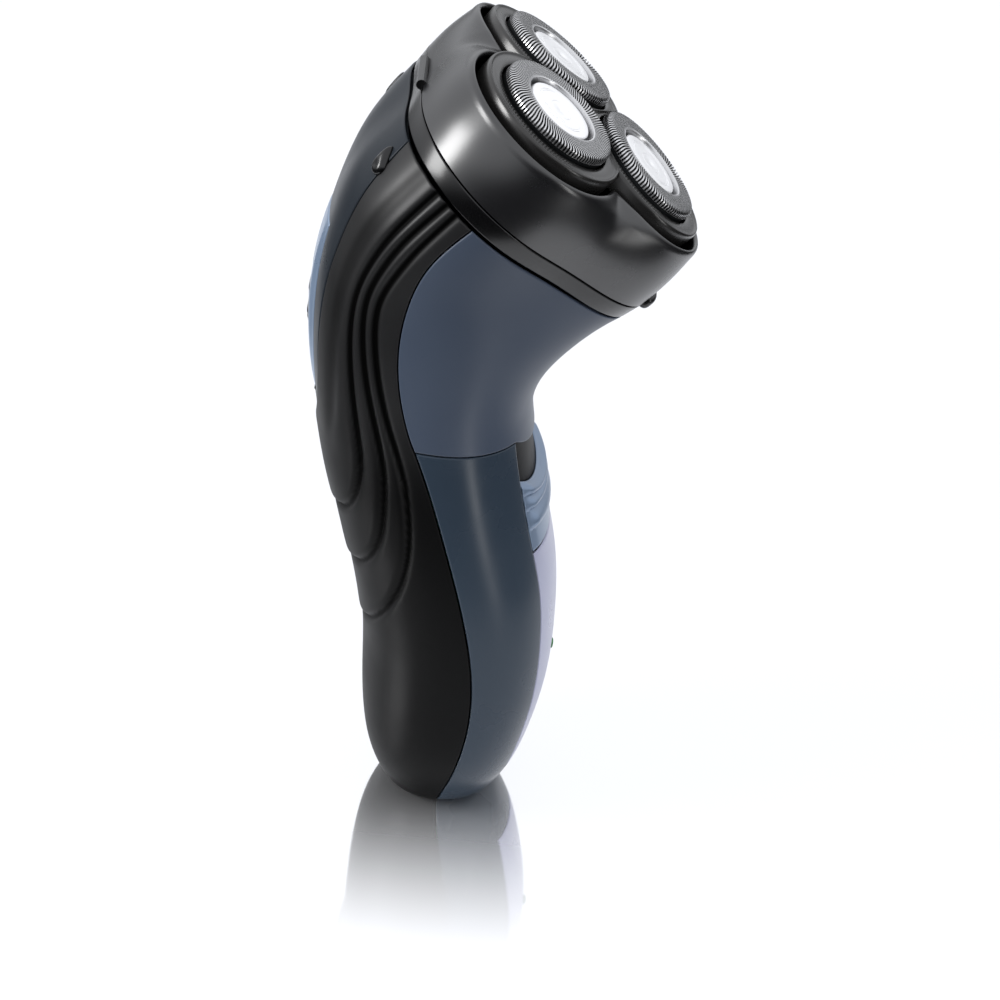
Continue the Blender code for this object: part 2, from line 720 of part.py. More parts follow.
HINGE_LEVEL = COLLAR_HEIGHT + GAP / 2


def hinge_frame():
    """Head hinge: across the back of the neck, on the line under the shaving unit."""
    return moved(COLLAR, 0, HEAD_MEAN - HEAD_LOBE + 0.5, HINGE_LEVEL)


def head_hinge():
    """Hinge pin at the back, in a notch of the collar."""
    across = hinge_frame() @ Matrix.Rotation(math.radians(90), 4, "Y")
    turned("cutter_hinge", ((0, -6), (1.5, -6), (1.5, 6), (0, 6)), "steel", across, 16)
    turned("hinge_pin", ((0, -5.6), (0.9, -5.6), (0.9, 5.6), (0, 5.6)), "steel", across, 16)


# ---- the drive -----------------------------------------------------------

def hair_chamber():
    """Tray under the cutters that catches the hair, over the gears."""
    wall_top = COLLAR_HEIGHT - 0.4

    def ring(inset, level):
        return in_frame(collar_outline(NECK_MEAN - inset, NECK_LOBE, level, 36), COLLAR, HEAD)

    def floor_ring(inset, level):
        flat = ring(inset, 0.0)
        flat[:, 2] = level
        return flat

    rings = [floor_ring(4.4, -26.4), ring(3.7, -1.0), ring(3.5, wall_top), ring(4.9, wall_top),
             floor_ring(5.9, -25.2)]
    item = rings_solid("hair_chamber", rings, "gloss_black", HEAD, capped=True)
    for number, angle in enumerate(HEAD_ANGLES, 1):
        hole = turned(f"guide_spindle_hole_{number}", ((0, -28), (2.6, -28), (2.6, -22), (0, -22)),
                      "gloss_black", spindle_frame(angle), 20)
        boolean(item, hole)


def drive_train():
    """Motor pinion and three gears, each with its spindle and spindle spring."""
    low, high = GEAR_LEVEL
    for number, angle in enumerate(HEAD_ANGLES, 1):
        frame = spindle_frame(angle)
        phase = math.pi + math.pi / GEAR_TEETH
        teeth = gear_outline(GEAR_TEETH, phase)
        item = prism(f"drive_gear_{number}", teeth, low, high, "white_plastic", frame)
        profile = ((0, low - 0.4), (1.9, low - 0.4), (1.9, high + 0.5), (0, high + 0.5))
        boss = turned(f"guide_boss_{number}", profile, "white_plastic", frame, 16)
        boolean(item, boss, "UNION")
        spindle = ((0, high + 0.8), (1.6, high + 0.8), (1.6, high + 1.6), (1.0, high + 2.0), (1.0, -12.0),
                   (1.5, -11.4), (1.5, -10.2), (1.1, -9.8), (1.1, -4.7), (0, -4.7))
        turned(f"spindle_{number}", spindle, "white_plastic", frame, 12)
        coil(f"spindle_spring_{number}", 1.6, 0.22, 4, -22.5, -12.4, "steel", frame)
    phase = math.radians(HEAD_ANGLES[0])
    pinion = prism("motor_pinion", gear_outline(PINION_TEETH, phase), low, high, "brass", HEAD)
    bore = turned("guide_pinion_bore", ((0, low - 1), (1.1, low - 1), (1.1, high + 1), (0, high + 1)),
                  "brass", HEAD, 12)
    boolean(pinion, bore)
    foot, tip = MOTOR_LEVEL[1] + GAP, high + 0.3
    turned("motor_shaft", ((0, foot), (0.8, foot), (0.8, tip), (0, tip)), "steel", HEAD, 12)


def motor_and_plate():
    low, high = MOTOR_LEVEL
    profile = ((0, low), (4.0, low), (4.0, low + 1.5), (8.7, low + 1.5), (9.0, low + 1.9), (9.0, high - 0.4),
               (8.7, high), (0, high))
    turned("motor", profile, "steel", HEAD, 28)
    outline = oval(18.5, 15.0, 36, 2.6, (0.0, -3.5))
    item = prism("gear_plate", outline, high + GAP, high + GAP + 1.4, "satin_grey", HEAD)
    hole = turned("guide_shaft_hole", ((0, high - 2), (1.6, high - 2), (1.6, high + 4), (0, high + 4)),
                  "satin_grey", HEAD, 16)
    boolean(item, hole)
    plate_screws(item)


def plate_screws(plate):
    """Two screws that hold the gear plate."""
    level = MOTOR_LEVEL[1] + GAP
    for name, side in (("plate_screw_left", -15.5), ("plate_screw_right", 15.5)):
        frame = moved(HEAD, side, -3.5, level)
        hole = turned("guide_" + name, ((0, -3), (1.4, -3), (1.4, 3), (0, 3)), "steel", frame, 12)
        boolean(plate, hole)
        profile = ((0, -3.5), (0.6, -3.5), (1.0, -2.8), (1.0, 1.7), (1.9, 1.7), (1.9, 2.3),
                   (1.4, 2.7), (0, 2.7))
        turned(name, profile, "steel", frame, 12)


# ---- inside the handle ---------------------------------------------------

def electrics():
    """Two cells, their cradle, the circuit board and the switch block."""
    base = Matrix.Translation((0, FOOT_Y, 0))
    for name, side in (("battery_left", -7.4), ("battery_right", 7.4)):
        profile = ((0, 0), (6.8, 0), (7.0, 0.3), (7.0, 43.7), (6.6, 44.1), (2.6, 44.2),
                   (2.6, 45.2), (0, 45.2))
        turned(name, profile, "cell_green", moved(base, side, 5.5, 13.0), 24)
    block("battery_cradle", (27.0, 2.0, 50.0), "satin_grey", moved(base, 0, -3.0, 36.0), 0.4)
    block("circuit_board", (24.0, 1.4, 48.0), "board_green", moved(base, 0, -6.4, 35.0))
    block("switch_block", (9.0, 2.4, 9.0), "satin_grey", moved(base, 0, -8.7, 52.0), 0.3)
    block("charge_coil", (8.0, 3.0, 8.0), "brass", moved(base, 0, -8.9, 26.0), 0.5)


def switch_bed():
    """Black track of the slide switch, sunk behind the window."""
    edge = steady(WINDOW - 2 * SEAM_DEGREES)
    heights = spaced(PANEL_TOP, PARTING - 0.5, 4.0)
    skin("switch_bed", [negative(edge), edge], (8,), heights, "gloss_black", depth=3.2, wall=1.2)


def slide_switch():
    """Ribbed thumb slide, proud of the handle."""
    edge = steady(WINDOW - 3 * SEAM_DEGREES)
    heights = np.linspace(PANEL_TOP + 0.4, SLIDE_TOP, 13)
    share = (heights - heights[0]) / (heights[-1] - heights[0])
    bulge = 0.9 * np.abs(np.sin(3 * math.pi * share))**0.6 + 0.2
    angles = np.linspace(-1, 1, 7) * edge(0.0)
    turn, tall = np.meshgrid(angles, heights)
    normal = handle_normal(turn, tall)
    crown = np.sqrt(np.clip(1 - (turn / edge(0.0))**4, 0, 1))
    outer = handle_point(turn, tall) + normal * (bulge[:, None] * crown - 0.3)[..., None]
    inner = handle_point(turn, tall) - normal * 2.5
    frame = slide_frame()
    both = np.concatenate([outer.reshape(-1, 3), inner.reshape(-1, 3)])
    local = in_frame(both, UPRIGHT, frame)
    rows, columns = turn.shape
    layer = rows * columns
    faces = []
    for row in range(rows - 1):
        for column in range(columns - 1):
            a = row * columns + column
            quad = (a, a + 1, a + columns + 1, a + columns)
            faces.append(quad)
            faces.append(tuple(corner + layer for corner in reversed(quad)))
    rim = list(range(columns)) + [row * columns + columns - 1 for row in range(1, rows)]
    rim += [(rows - 1) * columns + column for column in range(columns - 2, -1, -1)]
    rim += [row * columns for row in range(rows - 2, 0, -1)]
    for i, a in enumerate(rim):
        b = rim[(i + 1) % len(rim)]
        faces.append((a, a + layer, b + layer, b))
    outward(make("slide_switch", local, faces, "silver_blue", frame))


def slide_frame():
    low = handle_point(0.0, PANEL_TOP + 1)
    high = handle_point(0.0, PARTING - 1)
    up = Vector(high - low).normalized()
    across = Vector((1, 0, 0))
    return frame_of(low, across, up.cross(across), up)


# ---- release button, lugs and trimmer ------------------------------------

def button_frame():
    """Release button: Z forwards and out of the collar's front."""
    level = COLLAR_HEIGHT + 0.7
    return moved(COLLAR, 0, -(NECK_MEAN + NECK_LOBE), level) @ Matrix.Rotation(math.radians(90), 4, "X")


def release_button():
    """Button on the front of the neck that frees the shaving unit, with its spring."""
    frame = button_frame()
    prism("cutter_button", oval(4.6, 2.3, 24), -8.0, 6.0, "gloss_black", frame)
    rings = []
    for shrink, level in ((0.9, -1.3), (1.0, -0.9), (1.0, 0.8), (0.86, 1.5), (0.55, 1.9)):
        outline = oval(4.25 * shrink, 1.95 * shrink, 24)
        rings.append(np.column_stack([outline, np.full(24, level)]))
    rings_solid("release_button", rings, "gloss_black", frame, capped=True)


def lugs():
    """Teardrop lugs on both sides of the neck, where the cover meets the grip."""
    for name, angle in (("lug_left", -LUG_ANGLE), ("lug_right", LUG_ANGLE)):
        frame = surface_frame(angle, NECK_TOP - LUG_DROP, -0.15)
        rings = []
        for shrink, level in ((0.9, 0.0), (1.0, 0.4), (0.94, 0.8), (0.7, 1.2), (0.4, 1.4)):
            turn = np.linspace(0, 2 * math.pi, 20, endpoint=False)
            pull = np.where(np.cos(turn) > 0, 1.45, 1.0)
            x = 1.7 * shrink * np.sin(turn)
            z = 1.9 * shrink * np.cos(turn) * pull
            rings.append(np.stack([x, np.full(20, -level), z], axis=-1))
        rings_solid(name, rings, "rubber", frame, capped=True)


def trimmer_frame():
    """Pop-out trimmer: hinged at its foot, with Z up along the back."""
    low = handle_point(180.0, TRIMMER_FOOT)
    high = handle_point(180.0, TRIMMER_TOP)
    up = Vector(high - low).normalized()
    across = Vector((1, 0, 0))
    return frame_of(low, across, up.cross(across), up)


def trimmer():
    """Flap, comb, moving blade, slide button and pivot pin of the long-hair trimmer."""
    frame = trimmer_frame()
    length = (handle_point(180.0, TRIMMER_TOP) - handle_point(180.0, TRIMMER_FOOT))
    length = float(np.linalg.norm(length))
    heights = np.linspace(TRIMMER_FOOT + 1.2, TRIMMER_TOP - 0.3, 9)
    angles = np.linspace(TRIMMER_HALF + 2.0, 360 - TRIMMER_HALF - 2.0, 9)
    turn, tall = np.meshgrid(angles, heights)
    normal = handle_normal(turn, tall)
    crown = np.sqrt(np.clip(1 - ((turn - 180) / (181 - TRIMMER_HALF))**4, 0, 1))
    share = (tall - heights[0]) / (heights[-1] - heights[0])
    proud = 0.9 * crown * np.sin(math.pi * share)**0.5
    outer = in_frame(handle_point(turn, tall) + normal * proud[..., None], UPRIGHT, frame)
    inner = outer * (0.88, 1.0, 1.0)
    inner[..., 1] = -3.4
    rings = []
    for row in range(len(heights)):
        rings.append(np.concatenate([outer[row], inner[row][::-1]]))
    item = rings_solid("trimmer_flap", rings, "silver_blue", frame, capped=True)
    middle = length * 0.42
    slot = block("guide_trimmer_slot", (7.6, 6.0, 13.6), "silver_blue", moved(frame, 0, 2.6, middle))
    boolean(item, slot)
    edge = moved(frame, 0, -2.3, length - 0.4)
    groove = block("guide_trimmer_groove", (20.0, 3.0, 6.0), "silver_blue", edge)
    boolean(item, groove)
    block("trimmer_slide", (7.0, 2.4, 9.6), "satin_grey", moved(frame, 0, 1.2, middle + 1.6), 0.8)
    comb_blade("trimmer_comb", frame, length, -1.7, 13, 0.6)
    comb_blade("trimmer_blade", frame, length, -2.6, 12, 0.6)
    across = moved(frame, 0, -0.6, 0.35) @ Matrix.Rotation(math.radians(90), 4, "Y")
    turned("trimmer_pin", ((0, -6.0), (0.5, -6.0), (0.5, 6.0), (0, 6.0)), "steel", across, 10)


def comb_blade(name, frame, length, level, teeth, thick):
    """A toothed steel strip at the trimmer's free end."""
    half = 5.2
    pitch = 2 * half / teeth
    low, root, tip = length - 3.3, length - 2.3, length - 1.0
    outline = [(-half, low), (half, low)]
    for tooth in range(teeth):
        right = half - tooth * pitch
        outline += [(right, root), (right - 0.1, tip), (right - 0.45 * pitch, tip),
                    (right - 0.55 * pitch, root)]
    outline.append((-half, root))
    turn = frame @ Matrix.Rotation(math.radians(90), 4, "X")
    points = [(x, z) for x, z in outline]
    prism(name, points, -level - thick, -level, "steel", turn)


def build():
    clear_scene()
    release_button()
    head_hinge()
    grip_shell()
    back_cover()
    front_shell_upper()
    front_shell_lower()
    front_panel()
    light_pipe()
    inlet_pins(end_cap())
    collar_ring()
    head_shell()
    for number, angle in enumerate(HEAD_ANGLES, 1):
        head_plate(number, angle)
        shaving_cap(number, angle)
        cap_disc(number, angle)
        cutter(number, angle)
    retaining_frame()
    retaining_lock()
    hair_chamber()
    drive_train()
    motor_and_plate()
    electrics()
    switch_bed()
    slide_switch()
    lugs()
    trimmer()


build()
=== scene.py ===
"""Looks of a rotary electric shaver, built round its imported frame.

The file follows the shaver as it is put together: the handle and its shells, the
switch, the trimmer, the neck, then the shaving unit. Sizes are in millimetres in
the handle's own frame (front towards -Y, Z up), and become metres in each mesh.
"""
import math

import bmesh
import bpy
import numpy as np
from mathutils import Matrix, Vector


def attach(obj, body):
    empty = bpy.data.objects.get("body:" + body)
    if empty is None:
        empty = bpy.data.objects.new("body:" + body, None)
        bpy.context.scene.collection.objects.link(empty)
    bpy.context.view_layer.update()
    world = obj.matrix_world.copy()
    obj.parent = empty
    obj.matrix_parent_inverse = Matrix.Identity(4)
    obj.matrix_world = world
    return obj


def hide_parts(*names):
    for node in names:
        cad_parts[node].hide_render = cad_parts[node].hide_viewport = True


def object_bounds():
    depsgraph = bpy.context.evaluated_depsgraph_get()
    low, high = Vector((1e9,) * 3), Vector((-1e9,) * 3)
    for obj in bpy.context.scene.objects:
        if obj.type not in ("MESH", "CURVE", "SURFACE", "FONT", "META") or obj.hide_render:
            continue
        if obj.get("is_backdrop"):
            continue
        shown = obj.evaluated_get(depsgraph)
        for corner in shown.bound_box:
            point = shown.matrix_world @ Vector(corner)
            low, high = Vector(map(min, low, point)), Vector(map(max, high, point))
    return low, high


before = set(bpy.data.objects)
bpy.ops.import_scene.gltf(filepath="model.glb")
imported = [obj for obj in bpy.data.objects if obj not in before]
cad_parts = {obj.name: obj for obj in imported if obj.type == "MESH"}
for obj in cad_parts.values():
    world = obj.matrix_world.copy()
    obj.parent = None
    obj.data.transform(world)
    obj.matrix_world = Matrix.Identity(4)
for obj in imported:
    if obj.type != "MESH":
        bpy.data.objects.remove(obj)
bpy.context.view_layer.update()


# ---- Rubber grip -----------------------------------------------------------
# The rear half of the handle is hard plastic over-moulded with soft black rubber.
# Three moulded grooves run down from the neck and turn round the back, so that the
# rubber lies in stacked scallops, each a little proud of the one below it.

FOOT_Y = 2.51
# back edge (y, z), front edge (y, z), half width, share of the three-lobed neck
STATIONS = np.array([
    (7.6, 0.0, -7.1, 0.0, 9.6, 0.0), (10.3, 1.3, -9.3, 1.6, 12.7, 0.0),
    (12.8, 4.4, -11.6, 4.9, 15.8, 0.0), (14.8, 9.2, -13.7, 9.4, 18.5, 0.0),
    (16.1, 15.5, -15.5, 15.5, 20.8, 0.0), (16.9, 26.0, -17.5, 26.0, 22.6, 0.0),
    (17.7, 38.0, -17.9, 38.0, 23.8, 0.0), (20.6, 51.0, -16.8, 50.0, 24.5, 0.0),
    (24.3, 64.0, -13.6, 63.0, 24.8, 0.0), (27.2, 75.0, -11.4, 73.0, 24.9, 0.0),
    (29.0, 86.0, -10.2, 80.0, 25.0, 0.0), (29.7, 96.0, -10.4, 84.5, 25.2, 0.03),
    (29.2, 107.0, -12.2, 89.0, 25.8, 0.15), (27.0, 117.5, -15.8, 93.3, 26.8, 0.4),
    (23.0, 127.0, -20.5, 97.4, 27.8, 0.75), (15.2, 136.7, -24.7, 100.2, 28.6, 1.0),
])
FULLNESS = 2.25               # power of the oval sections
FRONT_SHARE = 0.52            # where a section is widest, from its front edge
NECK_MEAN, NECK_LOBE = 27.0, 3.6
# seams and grooves as (height along the middle line, angle from the front)
GRIP_EDGE = ((0, 92), (6, 88), (15, 82), (50, 82.5), (80, 87), (100, 98), (115, 103.5), (131, 103))
COVER_EDGE = ((79, 180), (79.5, 171), (80.6, 165.5), (83, 160), (88, 154), (98, 151), (108, 147),
              (118, 141.5), (131, 141))
COVER_TIP = 79.0              # lowest point of the cover, on the back
GROOVES = (
    ((131, 119), (121.6, 120), (114.6, 123), (107.8, 126), (98.2, 124), (85.7, 118), (81.8, 117.5),
     (76.8, 121), (71.3, 131), (68, 143), (66, 160), (65.6, 180)),
    ((131, 114), (122.3, 115), (114.2, 118), (108.3, 120), (102.4, 118), (91.6, 110), (80.9, 105),
     (73.7, 108), (66.7, 115), (60.8, 127), (56.5, 143), (54.3, 162), (54, 180)),
    ((131, 110), (123.1, 110), (115.3, 112), (108.7, 114), (102.4, 111), (88.4, 100), (81.8, 96),
     (73.3, 96), (66.7, 99), (58.2, 108), (51.6, 121), (46.8, 135), (41.8, 160), (41.3, 180)),
)
SOFT_VALLEY = ((131, 126.5), (123, 127.5), (117, 130), (108, 135), (98, 136), (88, 136), (80, 143))
GROOVE_DEPTH, GROOVE_HALF = 0.6, 0.7
LAYER_STEP = 0.42             # how proud each scallop is of the next below it
SEAM_HALF = 0.11              # half the gap between two shells
EDGE_ROUND = 0.32             # moulded edge of a shell
EDGE_STEPS = np.array([0.0, 0.04, 0.1, 0.19, 0.32])
CLEAR = 99.0                  # a distance past every edge


def cubic(knots, values, where):
    """Natural cubic spline: on each span, a straight line plus bends that keep the slope even."""
    knots, where = np.asarray(knots, float), np.asarray(where, float)
    table = np.asarray(values, float).reshape(len(knots), -1)
    step = np.diff(knots)
    system, bend = np.eye(len(knots)), np.zeros_like(table)
    for i in range(1, len(knots) - 1):
        system[i, i - 1:i + 2] = step[i - 1], 2 * (step[i - 1] + step[i]), step[i]
        bend[i] = 6 * ((table[i + 1] - table[i]) / step[i] - (table[i] - table[i - 1]) / step[i - 1])
    second = np.linalg.solve(system, bend)
    flat = where.ravel()
    i = np.clip(np.searchsorted(knots, flat) - 1, 0, len(knots) - 2)
    width = (knots[i + 1] - knots[i])[:, None]
    low = (knots[i + 1] - flat)[:, None] / width
    high = 1 - low
    curve = low * table[i] + high * table[i + 1]
    curve += ((low**3 - low) * second[i] + (high**3 - high) * second[i + 1]) * width**2 / 6
    return curve.reshape(where.shape + np.shape(values)[1:])


edge_steps = [np.sum(np.diff(STATIONS[:, side:side + 2], axis=0)**2, axis=1) for side in (0, 2)]
HEIGHTS = np.concatenate([[0.0], np.cumsum(np.sqrt(sum(edge_steps) / 2))])
NECK_TOP = HEIGHTS[-1] - 0.5


def handle_point(angle, height):
    """Handle surface at an angle from the front and a height along its middle line.

    A section is an oval, half width * sin^p by depth * cos^p, in the plane of its two
    edges, and blends into a circle of radius mean + lobe * cos(3 angle) at the neck.
    """
    turn, height = np.broadcast_arrays(np.radians(angle), np.asarray(height, float))
    row = cubic(HEIGHTS, STATIONS, height)
    back, front, half = row[..., 0:2], row[..., 2:4], row[..., 4]
    lobed = np.clip(row[..., 5], 0, 1)
    depth = np.sqrt(((back - front)**2).sum(-1))
    power = 2 / FULLNESS
    across = np.sign(np.sin(turn)) * np.abs(np.sin(turn))**power * half
    ahead = np.sign(np.cos(turn)) * np.abs(np.cos(turn))**power
    share = np.where(ahead > 0, FRONT_SHARE, 1 - FRONT_SHARE)
    inward = FRONT_SHARE * depth - share * depth * ahead
    lobe = depth * NECK_LOBE / (2 * NECK_MEAN)
    radius = depth / 2 + lobe * np.cos(3 * turn)
    across = across * (1 - lobed) + radius * np.sin(turn) * lobed
    inward = inward * (1 - lobed) + (depth / 2 + lobe - radius * np.cos(turn)) * lobed
    place = front + (back - front) / depth[..., None] * inward[..., None]
    return np.stack([across, place[..., 0] + FOOT_Y, place[..., 1]], axis=-1)


def handle_normal(angle, height):
    """Outward direction: the slope round the handle crossed with the slope up it."""
    angle, height = np.broadcast_arrays(np.asarray(angle, float), np.asarray(height, float))
    round_it = handle_point(angle + 0.5, height) - handle_point(angle - 0.5, height)
    up_it = handle_point(angle, height + 0.2) - handle_point(angle, height - 0.2)
    out = np.cross(round_it, up_it)
    return out / np.linalg.norm(out, axis=-1, keepdims=True)


def seam(corners):
    """A seam's angle as a smooth function of height."""
    table = np.array(corners, float)
    heights = table[:, 0]
    if heights[0] > heights[-1]:
        table, heights = table[::-1], heights[::-1]
    return lambda height: cubic(heights, table[:, 1], np.clip(height, heights[0], heights[-1]))


def spaced(low, high, step):
    """Even steps with close ones at both ends, where an edge is rounded."""
    inner = np.linspace(low + 0.5, high - 0.5, max(2, round((high - low - 1) / step)))
    return np.concatenate([low + EDGE_STEPS, inner, high - EDGE_STEPS[::-1]])


def rounded(distance):
    """How far a surface has dropped at a distance from its edge: a quarter circle."""
    near = np.clip(EDGE_ROUND - distance, 0, EDGE_ROUND)
    return EDGE_ROUND - np.sqrt(EDGE_ROUND**2 - near**2)


def per_degree(angle, heights):
    """Millimetres round the handle for one degree."""
    return np.linalg.norm(handle_point(angle + 0.5, heights) - handle_point(angle - 0.5, heights), axis=-1)


def across_shell(left, right, heights, columns):
    """Columns of a strip between two seams, with close ones at both.

    Gives each point's angle, its distance from the left seam, and the strip's width:
    close steps, then even ones to the middle, and the same again from the other side.
    """
    width = np.maximum((right - left) * per_degree((left + right) / 2, heights), 0.02)
    close = np.minimum(EDGE_STEPS[:, None], width / 12)
    share = (np.linspace(0.5, 1.0, columns // 2)[:, None] - 0.5) / 0.5
    first = np.where(width > 2, 0.5, width / 12)
    near = np.concatenate([close, first + (width / 2 - first) * share])
    along = np.concatenate([near, (width - near)[-2::-1]]).T
    angle = left[:, None] + (right - left)[:, None] * along / width[:, None]
    return angle, along, width[:, None]


def patch(left, right, heights, columns):
    """A strip's angles and heights, and each point's distance from the nearer seam."""
    angle, along, width = across_shell(left, right, heights, columns)
    return angle, np.broadcast_to(heights[:, None], angle.shape), np.minimum(along, width - along)


def quads(rows, columns, wrap=False):
    """Corner numbers of the faces of a grid; with wrap its last column meets its first."""
    corner = np.arange(rows * columns).reshape(rows, columns)
    if wrap:
        corner = np.concatenate([corner, corner[:, :1]], axis=1)
    faces = np.stack([corner[:-1, :-1], corner[:-1, 1:], corner[1:, 1:], corner[1:, :-1]], axis=-1)
    return faces.reshape(-1, 4)


def piece(name, points, faces, material, body, nodes=(), wall=0.0, merge=0.0, crease=40,
          others=(), which=None, shade=None):
    """Make a mesh of millimetre points, with its finish, its body and the nodes it stands for.

    Others are further finishes, and which says for each face which one it has; shade
    is painted shade: how dark each point is drawn, for a finish that reads it.
    """
    mesh = bpy.data.meshes.new(name)
    corners = np.asarray(points).reshape(-1, 3) * 0.001
    mesh.from_pydata(corners.tolist(), [], np.asarray(faces).tolist())
    for one in (material, *others):
        mesh.materials.append(one)
    if which is not None:
        mesh.polygons.foreach_set("material_index", np.asarray(which, np.int32).ravel())
    # painted shade, kept on the points for a finish to read
    if shade is not None:
        dark = mesh.attributes.new("shade", "FLOAT", "POINT")
        dark.data.foreach_set("value", np.float32(shade).ravel())
    if merge:
        shape = bmesh.new()
        shape.from_mesh(mesh)
        bmesh.ops.remove_doubles(shape, verts=shape.verts, dist=merge * 0.001)
        shape.to_mesh(mesh)
        shape.free()
    mesh.shade_smooth()
    mesh.set_sharp_from_angle(angle=math.radians(crease))
    made = bpy.data.objects.new(name, mesh)
    bpy.context.scene.collection.objects.link(made)
    if wall:
        shell = made.modifiers.new("wall", "SOLIDIFY")
        shell.thickness = wall * 0.001
        shell.offset = -1.0
    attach(made, body)
    if nodes:
        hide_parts(*nodes)
    return made


def linear(code):
    """An sRGB hex colour as linear light."""
    parts = np.array([int(code[i:i + 2], 16) for i in (0, 2, 4)]) / 255
    light = np.where(parts <= 0.04045, parts / 12.92, ((parts + 0.055) / 1.055)**2.4)
    return (*light.tolist(), 1.0)


def add(tree, kind, inputs=(), **settings):
    """Add a node with its settings; an input is a value or a socket to link from."""
    made = tree.nodes.new("ShaderNode" + kind)
    for key, value in settings.items():
        setattr(made, key, value)
    for key, value in dict(inputs).items():
        if isinstance(value, bpy.types.NodeSocket):
            tree.links.new(value, made.inputs[key])
        else:
            made.inputs[key].default_value = value
    return made


DRIFT = 14.0                  # how far apart the faint cloudy changes of a finish are


def finish(name, code, roughness, grain, depth, metallic=0.0, vary=0.06, uneven=0.05, painted_shade_colour=None,
           **extra):
    """A finish whose colour and roughness drift a little and whose grain is in millimetres.

    A painted shade colour takes over, and the shine drops, where the mesh's painted shade says that a point
    lies in shade.
    """
    made = bpy.data.materials.new(name)
    made.use_nodes = True
    tree = made.node_tree
    shader = tree.nodes["Principled BSDF"]
    place = add(tree, "TexCoord").outputs["Object"]
    cloud = add(tree, "TexNoise", {"Vector": place, "Scale": 1000 / DRIFT, "Detail": 4.0})
    colour = np.array(linear(code)[:3])
    shader.inputs["Base Color"].default_value = linear(code)
    if vary:
        tint = add(tree, "Mix", {"Factor": cloud.outputs["Fac"]}, data_type="RGBA")
        tint.inputs[6].default_value = (*(colour * (1 - vary)).tolist(), 1.0)
        tint.inputs[7].default_value = (*(colour * (1 + vary)).tolist(), 1.0)
        # painted shade: the mesh's shade attribute darkens the colour and lowers the shine
        if painted_shade_colour:
            sunk = add(tree, "Attribute", attribute_name="shade").outputs["Fac"]
            deep = add(tree, "Mix", {"Factor": sunk}, data_type="RGBA")
            tree.links.new(tint.outputs[2], deep.inputs[6])
            deep.inputs[7].default_value = linear(painted_shade_colour)
            painted_shade_shine = add(tree, "MapRange", {"Value": sunk, "To Min": extra.pop("Specular_IOR_Level"),
                                          "To Max": 0.02})
            tree.links.new(painted_shade_shine.outputs["Result"], shader.inputs["Specular IOR Level"])
            tint = deep
        tree.links.new(tint.outputs[2], shader.inputs["Base Color"])
    dull = add(tree, "MapRange", {"Value": cloud.outputs["Fac"], "From Min": 0.3, "From Max": 0.7,
                                  "To Min": roughness - uneven, "To Max": roughness + uneven})
    tree.links.new(dull.outputs["Result"], shader.inputs["Roughness"])
    if depth:
        fine = add(tree, "TexNoise", {"Vector": place, "Scale": 1000 / grain, "Detail": 2.0})
        bump = add(tree, "Bump", {"Height": fine.outputs["Fac"], "Strength": 1.0,
                                  "Distance": depth * 0.001})
        tree.links.new(bump.outputs["Normal"], shader.inputs["Normal"])
    shader.inputs["Metallic"].default_value = metallic
    for key, value in extra.items():
        shader.inputs[key.replace("_", " ")].default_value = value
    return made


# thermoplastic rubber from a spark-eroded mould: dull black, with a soft sheen and a fine grain;
# # painted shade darkens it and takes away its shine in the grooves, the soft valley and towards its foot
grip_rubber = finish("moulded_soft_rubber", "131314", 0.45, 0.3, 0.005, vary=0.08, painted_shade_colour="030303",
                     Specular_IOR_Level=0.34)


def groove_reach(corners, points, angles, heights):
    """Distance of points from a groove, positive on its upper, rear side."""
    table = np.array(corners, float)
    steps = np.diff(table, axis=0) * (1.0, 0.4)
    chord = np.concatenate([[0.0], np.cumsum(np.linalg.norm(steps, axis=1))])
    line = cubic(chord, table, np.linspace(0, chord[-1], 700))
    path = handle_point(line[:, 1], line[:, 0])
    flat = points.reshape(-1, 3) * (-1, 1, 1) if points[..., 0].mean() < 0 else points.reshape(-1, 3)
    square = (flat**2).sum(1)[:, None] + (path**2).sum(1) - 2 * flat @ path.T
    reach = np.sqrt(np.maximum(square.min(axis=1), 0)).reshape(heights.shape)
    order = np.argsort(line[:, 0])
    edge = np.interp(heights, line[order, 0], line[order, 1])
    inside = (angles > edge) & (heights > line[:, 0].min())
    return np.where(inside, reach, -reach)


def ease(value):
    """Smooth step from 0 to 1."""
    value = np.clip(value, 0, 1)
    return value * value * (3 - 2 * value)


